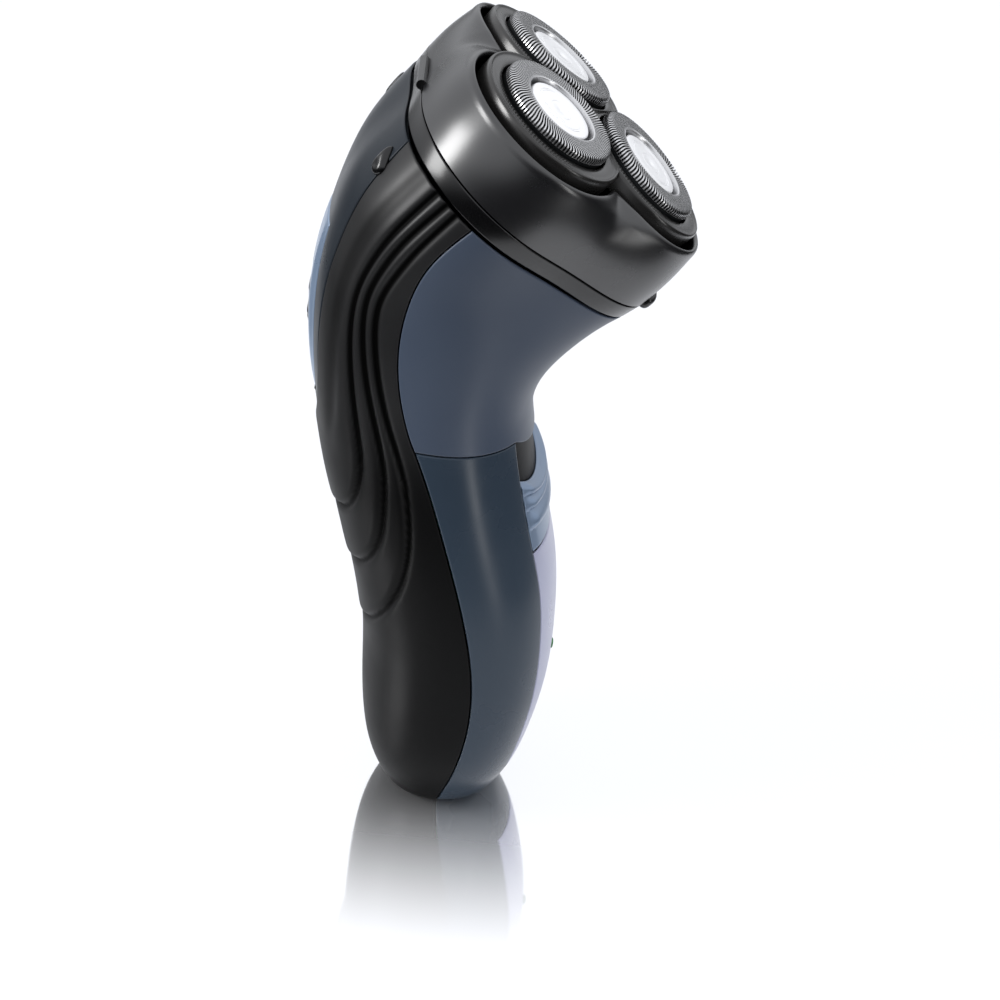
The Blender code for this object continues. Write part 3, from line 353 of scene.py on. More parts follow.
def grip_half():
    """One side of the grip, as points and faces, from its front seam to the back."""
    round_tip = COVER_TIP + np.array([-0.2, 0, 0.05, 0.3, 0.5])
    heights = np.unique(np.concatenate([spaced(0.0, NECK_TOP, 0.47), round_tip]))
    left = seam(GRIP_EDGE)(heights)
    cover = seam(COVER_EDGE)(heights)
    right = np.where(heights > COVER_TIP, np.minimum(cover, 180.0), 180.0)
    gap = SEAM_HALF / per_degree(left, heights)
    left = left + gap
    right = np.where(heights > COVER_TIP, right - gap, right)
    angle, tall, near = patch(left, right, heights, 74)
    points = handle_point(angle, tall)
    drop = rounded(np.minimum(heights, NECK_TOP - heights))[:, None]
    rear = angle > (left + right)[:, None] / 2
    open_edge = ~rear | (tall > COVER_TIP)
    drop = np.maximum(drop, np.where(open_edge, rounded(near), 0))
    lift = -drop
    # painted shade: the rubber is drawn darker and duller below the neck, so that the upper ridges look lit
    shade = 0.8 * ease((96 - tall) / 22)
    low_part = ease((104 - tall) / 34)
    for corners in GROOVES:
        reach = groove_reach(corners, points, angle, tall)
        lift = lift - GROOVE_DEPTH * np.exp(-(reach / GROOVE_HALF)**2)
        # painted shade along each groove, flat across its bottom
        shade = np.maximum(shade, np.exp(-(reach / GROOVE_HALF)**6))
        lift = lift + LAYER_STEP * low_part * ease(reach / 1.5) * (1 - 0.5 * ease((reach - 2) / 12))
    reach = groove_reach(SOFT_VALLEY, points, angle, tall)
    lift = lift - 0.35 * np.exp(-(reach / 1.7)**2) * ease((tall - 78) / 10)
    # painted shade along the soft valley by the cover
    shade = np.maximum(shade, 0.45 * np.exp(-(reach / 1.6)**4) * ease((tall - 84) / 20))
    points = points + handle_normal(angle, tall) * lift[..., None]
    return points, quads(*angle.shape), shade


points, faces, shade = grip_half()
count = points[..., 0].size
both = np.concatenate([points.reshape(-1, 3), points.reshape(-1, 3) * (-1, 1, 1)])
faces = np.concatenate([faces, faces[:, ::-1] + count])
piece("rubber_grip", both, faces, grip_rubber, "handle", ["grip_shell"], wall=1.6, merge=0.01,
      shade=np.concatenate([shade, shade]))


# ---- Front shells and back cover ---------------------------------------------
# Three shells of painted ABS close the handle: an upper and a lower one in front,
# with a fine parting line, and a glossy cover on the upper back round the trimmer.

PARTING = 85.4
PANEL_FOOT, PANEL_TOP = 11.0, 61.0
WINDOW = 32.0                 # half angle of the front panel and of the switch
TRIMMER_FOOT, TRIMMER_TOP, TRIMMER_HALF = 84.0, 110.0, 163.0
SHELL_WALL = 1.5

# sprayed satin paint on ABS: an even blue-grey with broad, soft highlights and no grain
blue_paint = finish("painted_blue_grey_abs", "404958", 0.36, 0.5, 0.0, vary=0.03,
                    Specular_IOR_Level=0.3)
# the same paint in a deeper slate, a little glossier, with a narrower highlight down its side
slate_paint = finish("painted_slate_abs", "2d3844", 0.28, 0.5, 0.0, vary=0.03, Specular_IOR_Level=0.25)


def shell(name, lines, heights, material, slot, nodes, columns, hole=(0.0, 0.0), visor=0.0):
    """A shell of the handle, with rounded edges, from its left seam to its right one.

    Three strips between four lines leave the middle one open over the hole's heights.
    A visor is how far the lower edge hangs down in front.
    """
    seam_gap = SEAM_HALF / per_degree(lines[0], heights)
    lines = [lines[0] + seam_gap, *lines[1:-1], lines[-1] - seam_gap]
    beyond = np.maximum(np.maximum(hole[0] - heights, heights - hole[1]), 0)[:, None]
    angles, nears, opened = [], [], []
    for number, count in enumerate(columns):
        angle, along, width = across_shell(lines[number], lines[number + 1], heights, count)
        near = np.full(angle.shape, CLEAR)
        if number == 0:
            near = np.minimum(near, along)
        if number == len(columns) - 1:
            near = np.minimum(near, width - along)
        if len(columns) > 1:
            aside = (width - along, 0 * along, along)[number]
            near = np.minimum(near, np.hypot(aside, beyond))
        skip = min(number, 1)
        angles.append(angle[:, skip:])
        nears.append(near[:, skip:])
        opened += [number == 1] * (angle.shape[1] - 1)
    angle, near = np.concatenate(angles, axis=1), np.concatenate(nears, axis=1)
    ends = np.minimum(heights - heights[0], heights[-1] - heights)
    drop = np.maximum(rounded(near), rounded(ends)[:, None])
    tall = np.broadcast_to(heights[:, None], angle.shape)
    tall = tall - visor * ease(1 - (tall - heights[0]) / 12) * np.clip(1 - (angle / WINDOW)**2, 0, 1)
    points = handle_point(angle, tall) - handle_normal(angle, tall) * drop[..., None]
    middle = (heights[1:] + heights[:-1]) / 2
    gap = ((middle > hole[0]) & (middle < hole[1]))[:, None] & np.array(opened)
    return piece(name, points, quads(*angle.shape)[~gap.ravel()], material, "handle", nodes,
                 wall=SHELL_WALL, merge=0.002)


heights = spaced(PARTING + SEAM_HALF, NECK_TOP, 0.8)
edge = seam(GRIP_EDGE)(heights)
shell("upper_front_shell", [-edge, edge], heights, blue_paint, "blue_shell", ["front_shell_upper"], [110],
      visor=4.0)

foot = PANEL_FOOT - SEAM_HALF
heights = np.concatenate([spaced(0.0, foot, 0.8), spaced(foot, PARTING - SEAM_HALF, 0.8)[1:]])
edge = seam(GRIP_EDGE)(heights)
side = np.full(heights.shape, WINDOW)
shell("lower_front_shell", [-edge, -side, side, edge], heights, slate_paint, "slate_shell",
      ["front_shell_lower"], [40, 40, 40], (PANEL_FOOT - SEAM_HALF, PARTING))

heights = np.concatenate([spaced(COVER_TIP + 0.05, TRIMMER_FOOT, 0.6),
                          spaced(TRIMMER_FOOT, TRIMMER_TOP, 0.8)[1:], spaced(TRIMMER_TOP, NECK_TOP, 0.8)[1:]])
edge = np.minimum(seam(COVER_EDGE)(heights), 179.5)
side = np.maximum(TRIMMER_HALF, edge + 0.7 * (180 - edge) * (heights < TRIMMER_FOOT))
# dark slate paint on ABS: smooth and nearly black, with a low shine
cover_paint = finish("painted_dark_slate_abs", "22262b", 0.3, 0.5, 0.0, vary=0.03, Specular_IOR_Level=0.08)
shell("rear_cover", [edge, side, 360 - side, 360 - edge], heights, cover_paint, "slate_shell",
      ["back_cover"], [26, 30, 26], (TRIMMER_FOOT, TRIMMER_TOP))


# ---- Front panel and charging light ------------------------------------------
# A pale pearl-painted panel under the switch, with the small lens of the light.

# pearl paint on ABS: a pale lavender that stays light and satin all round the curve
pearl_paint = finish("pearl_lavender_paint", "9fa1b8", 0.3, 0.4, 0.0, vary=0.02)
LIGHT_HEIGHT = 32.8
heights = spaced(PANEL_FOOT + SEAM_HALF, PANEL_TOP - 0.25, 0.8)
edge = np.full(heights.shape, WINDOW)
shell("pearl_front_panel", [-edge, edge], heights, pearl_paint, "lavender_panel", ["front_panel"], [50])


def turned(profile, count):
    """A profile of (radius, height) turned about Z: x = r cos t, y = r sin t."""
    turn = np.linspace(0, 2 * math.pi, count, endpoint=False)
    profile = np.asarray(profile, float)
    radius, level = profile[:, :1], profile[:, 1:]
    return np.stack([radius * np.cos(turn), radius * np.sin(turn), level + 0 * turn], axis=-1)


def placed(points, matrix):
    """Points of a frame in the handle's own frame."""
    return np.asarray(points) @ matrix[:3, :3].T + matrix[:3, 3]


def axes(origin, across, back, up):
    """A frame from its origin and its three directions."""
    matrix = np.eye(4)
    matrix[:3, 0], matrix[:3, 1], matrix[:3, 2], matrix[:3, 3] = across, back, up, origin
    return matrix


def on_handle(angle, height):
    """A frame on the handle's surface: X across, Y up along it, Z outwards."""
    out = handle_normal(angle, height)
    up = handle_point(angle, height + 1) - handle_point(angle, height - 1)
    up = up - out * np.dot(up, out)
    up /= np.linalg.norm(up)
    return axes(handle_point(angle, height), np.cross(up, out), up, out)


# tinted acrylic, moulded and polished: a small clear green dome with a sharp highlight
lens_green = finish("green_acrylic_lens", "2f7d3a", 0.12, 0.4, 0.001, Transmission_Weight=0.35, IOR=1.49)
LENS = ((0.0, -1.2), (1.0, -1.2), (1.0, 0.16), (0.93, 0.28), (0.75, 0.38), (0.4, 0.44), (0.0, 0.46))
grid = placed(turned(LENS, 40), on_handle(0.0, LIGHT_HEIGHT))
piece("charging_light_lens", grid, quads(len(LENS), 40, True), lens_green, "handle",
      ["light_pipe"], merge=0.001)


# ---- Thumb switch ---------------------------------------------------------------
# The switch is a silver-blue slide with three thumb scales, like overlapping shells,
# that moves up on a satin black track let into the lower front shell.

SLIDE_TOP = 76.0
TRACK_DEPTH = 0.75
SCALES = (0.27, 0.5, 0.76)    # where each scale ends, from the top of the slide
SCALE_FOOT = 0.12             # how proud the slide is between its scales
SLIDE_FOOT = PANEL_TOP + 0.2

# moulded black ABS, satin, drawn darker still and with little shine as painted shade, because it lies in
# shadow
black_with_painted_shade = finish("satin_black_abs_and_painted_shade", "040405", 0.4, 0.25, 0.0, vary=0.1, Specular_IOR_Level=0.08)
# metal-flake paint on ABS: silvery blue, brighter where it faces the light
silver_blue = finish("silver_blue_metallic_paint", "76879e", 0.3, 0.35, 0.0, metallic=0.4, vary=0.03)

heights = spaced(PANEL_TOP - 2.0, PARTING + 0.9, 0.8)
edge = np.full(heights.shape, WINDOW + 1.0)
angle, tall, near = patch(-edge, edge, heights, 40)
depth = TRACK_DEPTH + 0.9 * ease(1 - near / 1.2)
sunk = handle_point(angle, tall) - handle_normal(angle, tall) * depth[..., None]
piece("switch_track", sunk, quads(*angle.shape), black_with_painted_shade, "handle", ["switch_bed"],
      wall=0.5)


def scale_rise(share):
    """Height of the thumb scales: each climbs slowly and drops back at its lower end."""
    ends = (0.0,) + SCALES
    rise = np.full_like(share, SCALE_FOOT)
    for start, stop in zip(ends[:-1], ends[1:]):
        along = (share - start) / (stop - start)
        within = (along >= 0) & (along <= 1)
        wave = np.sin(math.pi * np.clip(along, 0, 1)**1.45)**0.75
        rise = np.where(within, SCALE_FOOT + wave, rise)
    return rise


steps = SLIDE_TOP - (SLIDE_TOP - SLIDE_FOOT) * np.array(SCALES)
heights = np.unique(np.concatenate([spaced(SLIDE_FOOT, SLIDE_TOP, 0.22), steps]))
edge = np.full(heights.shape, WINDOW - 0.6)
angle, tall, near = patch(-edge, edge, heights, 64)
share = (SLIDE_TOP - tall) / (SLIDE_TOP - SLIDE_FOOT)
droop = 0.05 * (np.abs(angle) / WINDOW)**2
crown = 0.1 + 0.9 * ease(near / 5.0)
lift = scale_rise(share + droop) * crown - 0.05 * (1 - crown)
ends = np.minimum(tall - heights[0], heights[-1] - tall)
lift = lift - np.maximum(rounded(near), rounded(ends)) - 0.5 * ease(1 - (SLIDE_TOP - tall) / 2.0)
tall = tall - 3.2 * ease((share - 0.5) / -0.5) * (1 - (angle / WINDOW)**2)
points = handle_point(angle, tall) + handle_normal(angle, tall) * lift[..., None]
piece("thumb_slide", points, quads(*angle.shape), silver_blue, "slide", ["slide_switch"],
      wall=1.5, crease=30)


# ---- Long-hair trimmer --------------------------------------------------------------
# A flap on the back swings out on its foot. It is silver-blue outside, with a ribbed
# dark slide that frees it, and carries the two toothed blades at its upper end.

low, high = handle_point(180.0, TRIMMER_FOOT), handle_point(180.0, TRIMMER_TOP)
TRIMMER_LENGTH = float(np.linalg.norm(high - low))
up = (high - low) / TRIMMER_LENGTH
TRIMMER = axes(low, (1.0, 0.0, 0.0), np.cross(up, (1.0, 0.0, 0.0)), up)
SLOT_FOOT, SLOT_TOP, SLOT_HALF = 0.16, 0.67, 3.8    # shares of the height, half width
RIB_PITCH = 1.1

heights = spaced(TRIMMER_FOOT + 1.2, TRIMMER_TOP - 0.3, 0.4)
edge = np.full(heights.shape, TRIMMER_HALF + 1.3)
angle, tall, near = patch(edge, 360 - edge, heights, 60)
share = (tall - heights[0]) / (heights[-1] - heights[0])
lift = 0.7 * ease(near / 4.0) * np.sin(math.pi * np.clip(share, 0, 1))**0.6 - 0.02
lift = lift - np.maximum(rounded(near), rounded(np.minimum(tall - heights[0], heights[-1] - tall)))
points = handle_point(angle, tall) + handle_normal(angle, tall) * lift[..., None]
middle = (points[:-1, :-1] + points[1:, 1:]) / 2
within = (share[:-1, :-1] > SLOT_FOOT) & (share[:-1, :-1] < SLOT_TOP)
slotted = (np.abs(middle[..., 0]) < SLOT_HALF) & within
faces = quads(*angle.shape)[~slotted.ravel()]
piece("trimmer_cover", points, faces, silver_blue, "trimmer", ["trimmer_flap"], wall=2.4)


def cushion(size, count, power=4.0):
    """A rounded block: |x/a|^n + |y/b|^n + |z/c|^n = 1, with n the power."""
    v = np.linspace(-math.pi / 2, math.pi / 2, count)[:, None]
    u = np.linspace(0, 2 * math.pi, 2 * count, endpoint=False)

    def bent(value):
        return np.sign(value) * np.abs(value)**(2 / power)

    return np.stack([size[0] * bent(np.cos(v)) * bent(np.cos(u)), size[1] * bent(np.cos(v)) * bent(np.sin(u)),
                     size[2] * bent(np.sin(v)) + 0 * u], axis=-1)


# moulded dark grey ABS: satin, with a fine grain
dark_satin = finish("satin_dark_grey_abs", "2c2c2e", 0.32, 0.25, 0.003, vary=0.08)
grid = cushion((3.4, 1.3, 4.8), 60)
ribs = 0.16 * np.cos(grid[..., 2] * 2 * math.pi / RIB_PITCH) * ease(2 - np.abs(grid[..., 2]) / 2)
grid[..., 1] += np.where(grid[..., 1] > 0, ribs, 0)
grid = placed(grid + (0, 1.1, TRIMMER_LENGTH * 0.42 + 1.6), TRIMMER)
piece("trimmer_release_slide", grid, quads(60, 120, True), dark_satin, "trimmer_button",
      ["trimmer_slide"], merge=0.005, crease=50)


# ---- Neck: lugs, collar and release button ---------------------------------------------
# A glossy black ring joins the handle to the shaving unit. Two teardrop lugs mark the
# hinge end on its sides, and the button that frees the head stands out in front.

HEAD_MEAN, HEAD_LOBE = 27.6, 3.5
COLLAR_HEIGHT = 3.6
back, front = STATIONS[-1, 0:2], STATIONS[-1, 2:4]
along = (back - front) / np.linalg.norm(back - front)
centre = front + along * (NECK_MEAN + NECK_LOBE)
COLLAR = axes((0.0, centre[0] + FOOT_Y, centre[1]), (1, 0, 0), (0, *along), (0, -along[1], along[0]))

# black ABS from a polished mould: almost no colour of its own, clear reflections
gloss_black = finish("gloss_black_abs", "020203", 0.24, 0.6, 0.0, vary=0.1, uneven=0.02,
                     Specular_IOR_Level=0.5)


def lobed(mean, lobe, level, count=240):
    """Three-lobed ring: r = mean + lobe * cos(3 t), from the front round to the back."""
    turn = np.linspace(0, 2 * math.pi, count, endpoint=False)
    radius = mean + lobe * np.cos(3 * turn)
    return np.stack([radius * np.sin(turn), -radius * np.cos(turn), level + 0 * turn], axis=-1)


def collar_profile():
    """Outer wall with quarter-round edges, then the inner wall."""
    arc = np.linspace(0, math.pi / 2, 6)
    low, high, round_off = 0.12, COLLAR_HEIGHT + 0.02, 0.3
    foot = [(round_off * (np.sin(a) - 1), low + round_off * (1 - np.cos(a))) for a in arc]
    top = [(round_off * (np.cos(a) - 1), high - round_off * (1 - np.sin(a))) for a in arc]
    return np.array(foot + [(0, (low + high) / 2)] + top + [(-3.2, high), (-3.2, low)])


rings = []
for inset, level in collar_profile():
    share = level / COLLAR_HEIGHT
    rings.append(lobed(NECK_MEAN + (HEAD_MEAN - NECK_MEAN) * share + inset,
                       NECK_LOBE + (HEAD_LOBE - NECK_LOBE) * share, level))
rings.append(rings[0])
collar = placed(np.array(rings), COLLAR)
piece("neck_ring", collar, quads(len(rings), 240, True), gloss_black, "handle",
      ["collar_ring"], merge=0.001)


def teardrop(u, v):
    """A drop: a dome whose upper side is drawn out to a point, dimpled on top."""
    pull = 1 + 0.8 * np.clip(np.cos(u), 0, 1)**2.5
    x = 1.75 * v * np.sin(u) * (1 - 0.18 * np.clip(np.cos(u), 0, 1))
    y = 1.95 * v * np.cos(u) * pull
    z = 1.35 * np.sqrt(np.clip(1 - v**2, 0, 1)) - 0.3 * np.exp(-((x / 0.9)**2 + ((y + 0.4) / 0.9)**2))
    return np.stack([x, y, z], axis=-1)


u = np.linspace(0, 2 * math.pi, 64, endpoint=False)[None, :]
v = np.sin(np.linspace(math.pi / 2, 0.001, 20))[:, None]
drop_shape = teardrop(u, v)
skirt = drop_shape[:1] - (0, 0, 0.9)
drop_shape = np.concatenate([skirt, drop_shape])
for side, node, rise in ((-1, "lug_left", 1.0), (1, "lug_right", 0.35)):
    seat = on_handle(side * 142.5, NECK_TOP - 4.9)
    tilt = math.radians(-16 * side)
    turn = np.array([(math.cos(tilt), -math.sin(tilt), 0), (math.sin(tilt), math.cos(tilt), 0), (0, 0, 1)])
    piece("teardrop_" + node, placed(drop_shape * (1, 1, rise) @ turn.T, seat), quads(21, 64, True),
          gloss_black, "handle", [node], merge=0.002)

grid = cushion((4.25, 1.95, 2.0), 40, 3.0)
BUTTON = COLLAR.copy()
BUTTON[:3, 3] = placed((0, -(NECK_MEAN + NECK_LOBE), COLLAR_HEIGHT + 0.7), COLLAR)
BUTTON[:3, :3] = COLLAR[:3, :3] @ np.array([(1, 0, 0), (0, 0, -1), (0, 1, 0)])
grid[..., 2] = grid[..., 2] * 0.95 - 0.05
piece("head_release_button", placed(grid, BUTTON), quads(40, 80, True), gloss_black, "button",
      ["release_button"], merge=0.002)


# ---- Shaving unit housing -------------------------------------------------------------
# A gunmetal ring, moulded and vacuum-coated, widens from the collar to three lobes
# round the caps. Its rim is a thin lip with soft notches between the lobes.

HEAD_TILT = math.radians(39.0)
HEAD_SPACING = 14.02          # from the head's axis to each cap's
CAP_TILT = math.radians(4.9)  # how far each cap leans outwards
RIM_RADIUS = 15.2             # round each cap, to the rim's inner side
HEAD_ANGLES = (-90.0, 30.0, 150.0)
cosine, sine = math.cos(HEAD_TILT), math.sin(HEAD_TILT)
HEAD = axes((0.0, -15.5 + FOOT_Y, 136.5), (1, 0, 0), (0, cosine, sine), (0, -sine, cosine))
NOTCH_SOFTNESS = 22.0
LIP = 0.65                    # half thickness of the rim
RIM_LEVEL = -5.0              # from the caps' faces down to the foot of the lip

# dark vacuum coating under clear lacquer: a deep grey with strong, broad reflections
gunmetal = finish("lacquered_gunmetal", "0a0a0d", 0.28, 0.6, 0.0, vary=0.04, uneven=0.02,
                  Specular_IOR_Level=1.0)


def lobe_reach(radius, turn):
    """Distance from the head's axis to three circles round the caps, softened where they meet.

    Each circle gives s cos t + sqrt(r^2 - s^2 sin^2 t); the three are joined by a
    power mean, which fills the notches between them.
    """
    total = np.zeros_like(turn)
    for angle in HEAD_ANGLES:
        toward = HEAD_SPACING * np.cos(turn - math.radians(angle + 90))
        inner = radius**2 - HEAD_SPACING**2 + toward**2
        reach = np.where(inner > 0, toward + np.sqrt(np.maximum(inner, 0)), 0.0)
        total += np.maximum(reach, 0)**NOTCH_SOFTNESS
    return total**(1 / NOTCH_SOFTNESS)


def lean_drop(spread):
    """How far the caps' lean lowers the head's top at a point."""
    drop = np.full(len(spread), -CLEAR)
    for angle in HEAD_ANGLES:
        out = np.array([math.cos(math.radians(angle)), math.sin(math.radians(angle))])
        drop = np.maximum(drop, (spread @ out - HEAD_SPACING) * math.tan(CAP_TILT))
    return np.maximum(drop, 0)


def head_ring(radius, level, scallop, count=360):
    """A ring of the housing: scalloped round the caps, or smoothly three-lobed."""
    turn = np.linspace(0, 2 * math.pi, count, endpoint=False)
    reach = lobe_reach(radius, turn)
    smooth = HEAD_SPACING + radius - HEAD_LOBE * (1 - np.cos(3 * turn))
    reach = scallop * reach + (1 - scallop) * smooth
    spread = np.stack([reach * np.sin(turn), -reach * np.cos(turn)], axis=-1)
    return np.column_stack([spread, level - lean_drop(spread)])


collar_to_head = np.linalg.inv(HEAD) @ COLLAR
foot = placed(lobed(HEAD_MEAN, HEAD_LOBE, COLLAR_HEIGHT + 0.28, 360), collar_to_head)
foot_in = placed(lobed(HEAD_MEAN - 1.8, HEAD_LOBE, COLLAR_HEIGHT + 0.28, 360), collar_to_head)
rings = [foot]
for v in np.linspace(0.02, 1.0, 30):
    brow = head_ring(RIM_RADIUS + 2 * LIP, RIM_LEVEL, 0.45 * v**5)
    bulge = 0.35 * math.sin(math.pi * v)
    ring = foot * (1 - v) + brow * v
    ring[:, :2] *= 1 + bulge / 29.0
    rings.append(ring)
for theta in np.linspace(0.0, math.pi, 12)[1:]:
    rings.append(head_ring(RIM_RADIUS + LIP * (1 + math.cos(theta)), RIM_LEVEL + 1.45 * math.sin(theta),
                           0.45 + 0.55 * math.sin(min(theta, math.pi / 2))))
lip_end = len(rings) - 3
throat = head_ring(RIM_RADIUS, -8.0, 1.0)
rings += [throat, foot_in * 0.35 + throat * 0.65, foot_in, foot]
housing = placed(np.array(rings), HEAD)
# faces past the lip take the near-black of the switch track: painted shade down the housing's throat
inside = np.repeat(np.arange(len(rings) - 1) >= lip_end, 360)
piece("shaving_unit_housing", housing, quads(len(rings), 360, True), gunmetal, "shaving_unit",
      ["head_shell"], merge=0.001, crease=50, others=[black_with_painted_shade], which=inside)


# ---- Floating plates ---------------------------------------------------------------
# Three satin dark-grey segments fill the head's top, each round one cap. They meet at
# fine slits, and a polished bead runs along their outer edges.

CAP_RADIUS = 11.0
PLATE_GAP = 0.9
# ABS with a dark nickel coating: satin, warm black, lighter along the bead
satin_plate = finish("satin_dark_nickel", "232221", 0.26, 0.3, 0.0, metallic=0.3, vary=0.05, uneven=0.03,
                     Specular_IOR_Level=0.8)


def plate_edge(gap, count=240):
    """Outline round one cap: the opening less a gap, cut off halfway to its neighbours.

    The distance out from the cap is halved towards the edge twenty times.
    """
    turn = np.linspace(0, 2 * math.pi, count, endpoint=False)
    x, y = np.cos(turn), np.sin(turn)
    low, high = np.zeros(count), np.full(count, 30.0)
    for _ in range(20):
        middle = (low + high) / 2
        across, out = middle * y, HEAD_SPACING + middle * x
        beyond = np.hypot(across, out) > lobe_reach(RIM_RADIUS - gap, np.arctan2(across, out))
        low, high = np.where(beyond, low, middle), np.where(beyond, middle, high)
    split = HEAD_SPACING * math.sin(math.radians(60)) - 0.13
    for side in (-1, 1):
        lean = np.cos(turn - math.radians(180 + side * 30))
        low = np.where(lean > 0.2, np.minimum(low, split / np.maximum(lean, 0.2)), low)
    return low[:, None] * np.stack([x, y], axis=-1)


def plate_rings():
    """From the hole over the flat top and the bead, and down the outer wall."""
    hole = turned(((CAP_RADIUS + 0.35, -3.5), (CAP_RADIUS + 0.35, -2.2), (CAP_RADIUS + 0.5, -2.0)), 240)
    hole_edge = hole[-1][:, :2]
    outer = plate_edge(PLATE_GAP)
    rings = list(hole)
    for share, level in ((0.25, -1.95), (0.5, -2.0), (0.68, -2.1), (0.76, -2.05), (0.82, -1.88),
                         (0.88, -1.8), (0.94, -1.88), (0.985, -2.15), (1.0, -2.5), (1.0, -5.2)):
        rings.append(np.column_stack([hole_edge * (1 - share) + outer * share, np.full(240, level)]))
    rings.append(hole[0])
    return np.array(rings)


def cap_frame(angle):
    """One cap: on its shaving face, X outwards from the head's axis, Z along its own axis."""
    turn, lean = math.radians(angle), CAP_TILT
    spin = np.array([(math.cos(turn), -math.sin(turn), 0), (math.sin(turn), math.cos(turn), 0), (0, 0, 1)])
    tip = np.array([(math.cos(lean), 0, math.sin(lean)), (0, 1, 0), (-math.sin(lean), 0, math.cos(lean))])
    local = np.eye(4)
    local[:3, :3] = spin @ tip
    local[:3, 3] = spin @ np.array([HEAD_SPACING, 0, 0])
    return HEAD @ local


plate_shape = plate_rings()
for number, angle in enumerate(HEAD_ANGLES, 1):
    grid = placed(plate_shape, cap_frame(angle))
    piece(f"floating_plate_{number}", grid, quads(len(plate_shape), 240, True)[:, ::-1], satin_plate,
          f"plate_{number}", [f"head_plate_{number}"], merge=0.001, crease=60)


# ---- Shaving caps ----------------------------------------------------------------------
# Each cap is stamped from stainless steel. Fine slots run outwards over its face and
# down its shoulder, a little aslant, and let the hairs reach the cutter below.

SLOTS = 110
SLOT_DEPTH = 0.42
SLANT = math.radians(9.0)     # how far a slot turns from its inner to its outer end

# stamped and tumbled stainless steel: bright grey metal with a soft sheen
cap_steel = finish("stamped_stainless_steel", "cfcfd0", 0.3, 0.2, 0.0, metallic=1.0, vary=0.03)
# the foot of a slot, where no light reaches: nearly black
slot_dark = finish("shadowed_slot", "0a0a0b", 0.5, 0.2, 0.001, vary=0.1)
# blackened steel of the cap's skirt: dark metal, half dull
cap_side = finish("blackened_steel", "2e3032", 0.35, 0.2, 0.001, metallic=0.8, vary=0.05)


def slotted_cap():
    """Grid of the cap: its profile turned, with the surface sunk inside each slot."""
    profile = np.array([
        (5.0, -1.9, 0), (5.0, -1.5, 0), (6.75, -1.5, 0), (6.8, -0.35, 0), (6.9, -0.1, 0), (7.1, 0.0, 0),
        (7.34, 0.0, 1), (8.2, 0.0, 1), (9.1, 0.0, 1), (9.9, -0.01, 1), (10.4, -0.06, 1), (10.72, -0.2, 1),
        (10.92, -0.42, 1), (11.0, -0.7, 1), (11.02, -1.45, 1), (11.02, -1.5, 0), (11.0, -1.56, 0),
        (10.9, -1.6, 0), (10.9, -3.1, 0), (10.3, -3.1, 0), (10.2, -1.9, 0), (5.0, -1.9, 0)])
    cells = np.array([0.0, 0.42, 0.46, 0.96])
    sunk = np.array([0, 0, 1, 1])
    turn = ((np.arange(SLOTS)[:, None] + cells) * 2 * math.pi / SLOTS).ravel()
    inside = np.tile(sunk, SLOTS)
    radius, level, slotted = profile[:, :1], profile[:, 1:2], profile[:, 2:3]
    slope = np.gradient(profile[:, :2], axis=0)
    slope /= np.linalg.norm(slope, axis=1, keepdims=True)
    depth = SLOT_DEPTH * slotted * inside
    out_r, out_z = -slope[:, 1:2], slope[:, 0:1]
    radius = radius - out_r * depth
    level = level - out_z * depth
    swirl = turn + SLANT * np.clip((profile[:, :1] - 7.3) / 3.7, 0, 1)
    points = np.stack([radius * np.cos(swirl), radius * np.sin(swirl), level + 0 * swirl], axis=-1)
    cell = np.tile(np.arange(4), SLOTS)
    floor = (slotted[:-1] + slotted[1:] > 1.5) & (cell >= 1)
    band = np.arange(len(profile) - 1)
    side = ((band >= 15) | (band <= 1))[:, None] & (cell >= 0)
    return points, np.where(side, 2, np.where(floor, 1, 0)).ravel()


cap_shape, cap_finish = slotted_cap()
for number, angle in enumerate(HEAD_ANGLES, 1):
    piece(f"slotted_cap_{number}", placed(cap_shape, cap_frame(angle)),
          quads(len(cap_shape), 4 * SLOTS, True)[:, ::-1], cap_steel, f"cap_{number}",
          [f"shaving_cap_{number}"], merge=0.001, crease=35, others=[slot_dark, cap_side], which=cap_finish)

# The centre disc is turned and clear-anodised aluminium, pressed into the cap, with fine
# engraved rings and a small dimple. The layer on it makes it look white and satin.
bright_disc = finish("turned_bright_aluminium", "fcfcfd", 0.3, 0.3, 0.0, metallic=0.35, vary=0.01)


def disc_profile():
    """A flat disc with a rounded edge and three narrow V grooves."""
    top = -0.4
    points = [(0.0, top - 0.12), (0.5, top - 0.1), (0.9, top)]
    for ring in (2.1, 4.3, 4.7):
        points += [(ring - 0.07, top), (ring, top - 0.08), (ring + 0.07, top)]
    points += [(5.7, top), (5.95, top - 0.06), (6.1, top - 0.2), (6.15, top - 0.4), (6.15, -1.2), (4.6, -1.2),
               (4.6, -2.0), (0.0, -2.0)]
    return points[::-1]


disc = turned(disc_profile(), 96)
for number, angle in enumerate(HEAD_ANGLES, 1):
    piece(f"centre_disc_{number}", placed(disc, cap_frame(angle)), quads(len(disc), 96, True), bright_disc,
          f"cap_{number}", [f"cap_disc_{number}"], merge=0.001, crease=25)


# ---- Works inside ----------------------------------------------------------------------
# What the solids already give: drive, cells, board, foot and hair chamber keep their
# shapes and take the finish of the real material.

# turned and plated steel: bright, with narrow highlights
bright_steel = finish("turned_steel", "b9b9bb", 0.25, 0.3, 0.001, metallic=1.0)
# turned brass: yellow metal
yellow_brass = finish("turned_brass", "b8975a", 0.28, 0.3, 0.001, metallic=1.0)
# moulded acetal: warm white, slightly waxy
white_acetal = finish("moulded_white_acetal", "e4e2dc", 0.38, 0.3, 0.003, vary=0.02)
